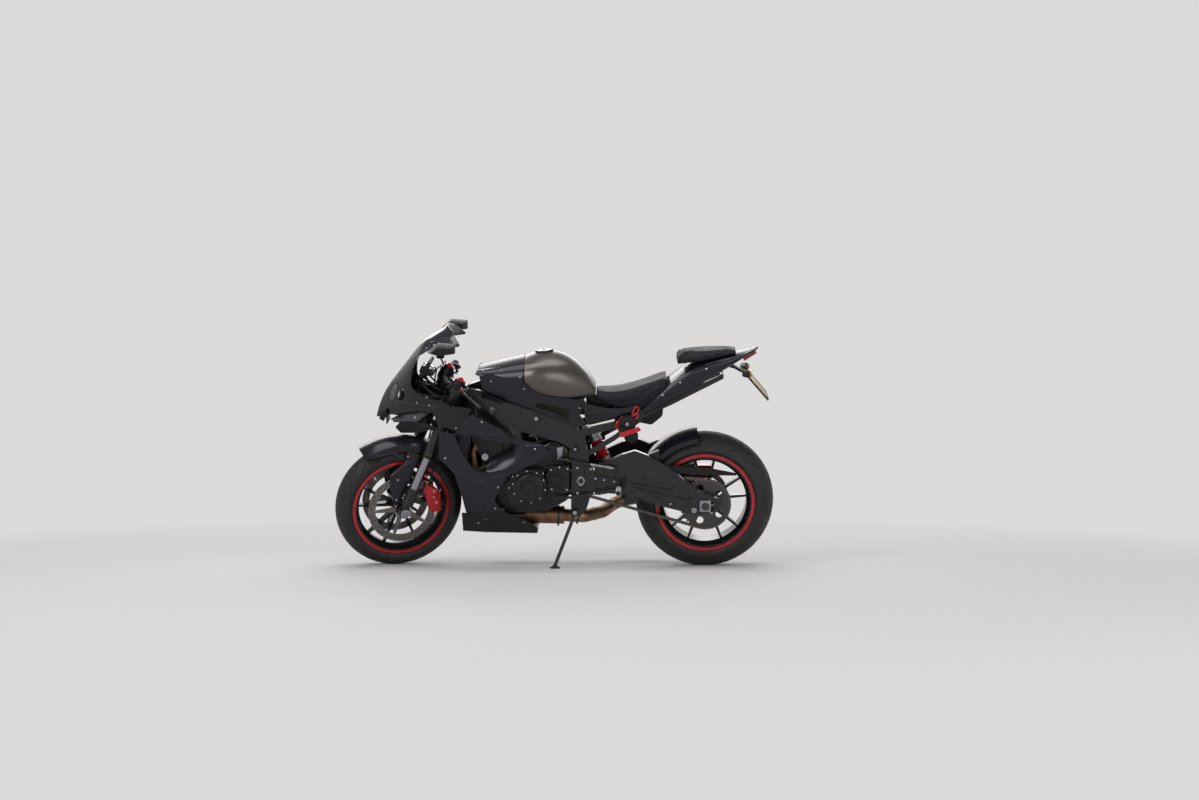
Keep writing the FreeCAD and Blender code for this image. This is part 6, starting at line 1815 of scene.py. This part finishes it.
class BIKE_OT_tail_parts(bpy.types.Operator):
    """Tail lamp, indicators, number plate with its lamp and frame, tail lines and tank cap"""
    bl_idname = "bike.tail_parts"
    bl_label = "Tail parts"

    def execute(self, context):
        lens = plate([(-888, 991), (-944, 1026.5), (-953, 1013), (-896, 977)], -37, 37, 0.003)
        settle(lens, "tail_lens", "root", "red_lens")
        self.add_indicators()
        self.add_number_plate()
        lines = []
        for side in (1, -1):
            for line in TAIL_LINES:
                lines += laid(["tail_fairing"], line, side, 0.0015)
        settle_all(lines, "tail_lines", "root", "plastic")
        self.add_tank_cap()
        return {"FINISHED"}

    def add_indicators(self):
        """Stem, body and amber lens of each rear indicator."""
        back = Vector((-1, 0, 0))
        stems, ends, ambers = [], [], []
        for side in (1, -1):
            stems.append(rod(mm(-884, side * 26, 930), mm(-896, side * 92, 928), 0.0055, 16, 0.001))
            ends.append(spun([(0.0, 0.0), (0.0, 0.01), (0.012, 0.0155), (0.03, 0.0165), (0.034, 0.015),
                              (0.034, 0.0)], mm(-884, side * 98, 928), 32, back))
            ambers.append(spun([(0.03, 0.0), (0.03, 0.0145), (0.0375, 0.013), (0.042, 0.008), (0.043, 0.0)],
                               mm(-884, side * 98, 928), 32, back))
        settle_all(stems, "indicator_stems", "root", "plastic")
        settle_all(ends, "indicator_bodies", "root", "plastic")
        settle_all(ambers, "indicator_lenses", "root", "amber_lens")

    def add_number_plate(self):
        """Blank plate in its wire frame, with the lamp over it."""
        lamp_box = plate([(-884, 950), (-906, 932), (-914, 936), (-900, 954)], -26, 26, 0.002)
        settle(lamp_box, "plate_lamp", "root", "plastic")
        top = mm(-894, 0, 934)
        down = (mm(-1004, 0, 806) - top).normalized()
        bars = []
        for side in (1, -1):
            start = mm(-895.5, side * 99, 934.5)
            bars.append(rod(start, start + down * PLATE_FALL, 0.0026, 10, 0.0004))
        for along in (0.0, PLATE_FALL):
            start = mm(-895.5, -99, 934.5) + down * along
            bars.append(rod(start, start + LEFT * 0.198, 0.0026, 10, 0.0004))
        settle_all(bars, "plate_frame", "root", "plastic")
        face = top + down * 0.0844 + Vector((down.z, 0, -down.x)) * 0.0006
        sheet = block(face, axes(down, LEFT), (0.16, 0.192, 0.0026), 0.0006)
        settle(sheet, "blank_plate", "root", "plate")

    def add_tank_cap(self):
        """Ring, lid, screws and keyhole of the fuel cap."""
        spot, out = landing(["fuel_tank"], mm(24, 0, 1300), Vector((0, 0, -1)))
        ring = spun([(-0.004, 0.043), (0.0035, 0.043), (0.005, 0.041), (0.005, 0.032), (0.0035, 0.03),
                     (-0.004, 0.03)], spot, 56, out)
        settle(ring, "cap_ring", "root", "frame")
        lid = spun([(-0.004, 0.0), (0.004, 0.0), (0.0046, 0.02), (0.0042, 0.0285), (-0.004, 0.0285)],
                   spot, 48, out)
        settle(lid, "cap_lid", "root", "silver")
        across = out.cross(LEFT).normalized()
        heads = []
        for number in range(7):
            turn = 2 * math.pi * number / 7
            away = (across * math.cos(turn) + LEFT * math.sin(turn)) * 0.0365
            heads.append((spot + away + out * 0.0048, out, 0.003, 0.0022))
        screws("cap_screws", "root", "steel", heads)
        keyhole = rod(spot + out * 0.004, spot + out * 0.0062, 0.0085, 24, 0.0008)
        settle(keyhole, "cap_keyhole", "root", "dark_steel")


class BIKE_OT_foot_parts(bpy.types.Operator):
    """Peg sleeves, heel guards, pedal tips, rear brake pump and stand bolt"""
    bl_idname = "bike.foot_parts"
    bl_label = "Foot parts"

    def execute(self, context):
        sleeve = ribbed(mm(-317, 178, 409), LEFT, 0.082, 0.0112, 16, 0.0009)
        settle(both([sleeve]), "peg_sleeves", "root", "alloy")
        guard = plate([(-322, 436), (-350, 470), (-352, 430), (-338, 408), (-326, 414)], 158, 161, 0.0012)
        settle(both([guard]), "heel_guards", "root", "plastic")
        settle(ribbed(mm(-30, 172, 370), LEFT, 0.038, 0.0085, 9, 0.0007), "shift_tip", "root", "grip")
        brake_tip = flipped(ribbed(mm(-174, 170, 352), LEFT, 0.044, 0.0095, 9, 0.0007))
        settle(brake_tip, "brake_pedal_tip", "root", "alloy")
        pump = [flipped(rod(mm(-262, 164, 470), mm(-240, 164, 540), 0.01, 24, 0.0015)),
                flipped(rod(mm(-270, 164, 440), mm(-262, 164, 472), 0.0045, 12, 0.0005))]
        settle_all(pump, "rear_brake_pump", "root", "frame")
        pot = flipped(rod(mm(-236, 158, 566), mm(-232, 158, 610), 0.016, 28, 0.003))
        settle(pot, "rear_brake_pot", "root", "plastic")
        line = pipe([(-240, -164, 540), (-236, -160, 556), (-236, -158, 566)], 0.0045)
        settle(line, "rear_pump_hose", "root", "hose")
        axis = Vector((0.0, 0.909, 0.417)).normalized()
        bolt = (mm(-116, 158, 288) + axis * 0.012, axis, 0.0088, 0.0055)
        screws("stand_pivot_bolt", "root", "steel", [bolt], "cap")
        return {"FINISHED"}


# Stage
CAMERA_BACK, CAMERA_SIDE, CAMERA_UP = 9.776, -0.2241, 0.7719
CAMERA_HEADING = math.radians(-1.3)
SENSOR = 36
LENS = SENSOR * 2076 / 1199
STAGE_RADIUS, WALL_HEIGHT, COVE_WIDTH = 60, 30, 3.0
# Distances from the machine between which the floor goes over to an even tone
FLOOR_LIT, FLOOR_EVEN = 1.9, 4.2
# Lamps: name, place, what it faces, width, height, power
LAMPS = (("key", (3.5, 5.0, 5.0), (0, 0, 0.5), 4.0, 3.0, 190),
         ("fill", (-4.5, 5.5, 2.6), (0, 0, 0.5), 4.0, 3.0, 90),
         ("top", (0, 0.2, 5.5), (0, 0, 0.4), 6.0, 3.0, 150),
         ("rim", (0, -5.0, 3.5), (0, 0, 0.8), 7.0, 2.0, 130))


def lamp(name, place, aim, width, height, power):
    """Soft rectangular lamp at a place, turned to what it lights."""
    bpy.ops.object.light_add(type="AREA", location=place)
    light = bpy.context.object
    light.name = name
    light.data.shape = "RECTANGLE"
    light.data.size, light.data.size_y = width, height
    light.data.energy = power
    light.rotation_euler = (Vector(aim) - Vector(place)).to_track_quat("-Z", "Y").to_euler()


def pale_backdrop(color):
    """Pale stage: an even tone behind the machine for camera, mirrors and glass, a lit floor near it."""
    f = Finish("studio_pale", color, 0.75)
    f.set("Base Color", f.blend(f.noise(2.0, 3.0), tint(color, 0.985), color))
    camera, shine, through = [f.add("ShaderNodeLightPath", output="Is %s Ray" % kind)
                              for kind in ("Camera", "Glossy", "Transmission")]
    far = f.add("ShaderNodeVectorMath", {"operation": "LENGTH"}, {"Vector": f.place()}, "Value")
    seen = camera.most(shine).most(through) * far.ramp(FLOOR_LIT, FLOOR_EVEN)
    glow = f.add("ShaderNodeEmission", None, {"Color": (*color, 1.0)}, "Emission")
    lit = Value(f, f.shader.outputs["BSDF"])
    shown = f.add("ShaderNodeMixShader", None, {"Fac": seen, 1: lit, 2: glow}, "Shader")
    f.feed(f.tree.nodes["Material Output"].inputs["Surface"], shown)
    return f.material


class BIKE_OT_stage(bpy.types.Operator):
    """Pale floor and backdrop, soft studio lamps and the camera"""
    bl_idname = "bike.stage"
    bl_label = "Stage"

    def execute(self, context):
        scene = context.scene
        scene.view_settings.view_transform = "Standard"
        self.add_backdrop(tuple(scene.bike_colours.floor))
        world = scene.world or bpy.data.worlds.new("studio")
        scene.world = world
        world.use_nodes = True
        back = world.node_tree.nodes["Background"]
        back.inputs["Color"].default_value = (0.9, 0.9, 0.92, 1)
        back.inputs["Strength"].default_value = 0.2
        for row in LAMPS:
            lamp(*row)
        scene.camera = self.add_camera()
        return {"FINISHED"}

    def add_backdrop(self, color):
        """Round floor whose rim curves up into a wall."""
        bpy.ops.mesh.primitive_circle_add(vertices=96, radius=STAGE_RADIUS, fill_type="NGON")
        floor = bpy.context.object
        floor.name = "studio_floor"
        edit(floor, "SELECT")
        bpy.ops.mesh.extrude_edges_move(TRANSFORM_OT_translate={"value": (0, 0, WALL_HEIGHT)})
        leave_edit()
        rounding = floor.modifiers.new("cove", "BEVEL")
        rounding.width, rounding.segments = COVE_WIDTH, 16
        rounding.limit_method = "ANGLE"
        apply_all(floor)
        floor.data.transform(floor.matrix_world)
        floor.matrix_world = Matrix.Identity(4)
        smooth(floor, 60)
        floor.data.materials.append(pale_backdrop(color))

    def add_camera(self):
        """Camera at the photograph's place, measured from the rear wheel as it stands."""
        rear = Vector(JOINTS["rear_wheel_spin"]["pos_m"])
        drawn = Matrix.Rotation(-LEAN, 3, "X") @ REAR_AXLE
        home = Vector((rear.x - drawn.x, rear.y - drawn.y, 0))
        heading = Matrix.Rotation(-CAMERA_HEADING, 4, "Z")
        bpy.ops.object.camera_add()
        camera = bpy.context.object
        look = heading @ Vector((0, -1, 0))
        camera.location = heading @ Vector((CAMERA_SIDE, CAMERA_BACK, CAMERA_UP)) + home
        camera.rotation_euler = look.to_track_quat("-Z", "Y").to_euler()
        camera.data.lens, camera.data.sensor_width = LENS, SENSOR
        return camera


STEPS = (
    BIKE_OT_finishes, BIKE_OT_stage, BIKE_OT_dress, BIKE_OT_tyres, BIKE_OT_rim_stripes, BIKE_OT_seats,
    BIKE_OT_screws, BIKE_OT_covers, BIKE_OT_vents, BIKE_OT_chain, BIKE_OT_wheel_parts,
    BIKE_OT_exhaust_parts, BIKE_OT_arm_parts, BIKE_OT_lock_parts, BIKE_OT_frame_parts, BIKE_OT_castings,
    BIKE_OT_side_panels, BIKE_OT_body_lines, BIKE_OT_bar_parts, BIKE_OT_fork_parts, BIKE_OT_cockpit,
    BIKE_OT_nose_parts, BIKE_OT_tail_parts, BIKE_OT_foot_parts,
)


class BIKE_PT_pieces(bpy.types.Panel):
    """Lists the machine's pieces in the order in which they are made"""
    bl_idname = "BIKE_PT_pieces"
    bl_label = "Sport Bike"
    bl_space_type = "VIEW_3D"
    bl_region_type = "UI"
    bl_category = "Sport Bike"

    def draw(self, context):
        column = self.layout.column(align=True)
        for group in (context.scene.bike_colours, context.scene.bike_sizes):
            for key in group.bl_rna.properties.keys():
                if key not in ("rna_type", "name"):
                    column.prop(group, key)
        for step in STEPS:
            column.operator(step.bl_idname)


CLASSES = (BikeColours, BikeSizes, *STEPS, BIKE_PT_pieces)


def register():
    for item in CLASSES:
        bpy.utils.register_class(item)
    bpy.types.Scene.bike_colours = bpy.props.PointerProperty(type=BikeColours)
    bpy.types.Scene.bike_sizes = bpy.props.PointerProperty(type=BikeSizes)


def unregister():
    del bpy.types.Scene.bike_sizes
    del bpy.types.Scene.bike_colours
    for item in reversed(CLASSES):
        bpy.utils.unregister_class(item)


def main():
    register()
    for step in STEPS:
        group, name = step.bl_idname.split(".")
        getattr(getattr(bpy.ops, group), name)()
    drop_patterns()


if __name__ == "__main__":
    main()
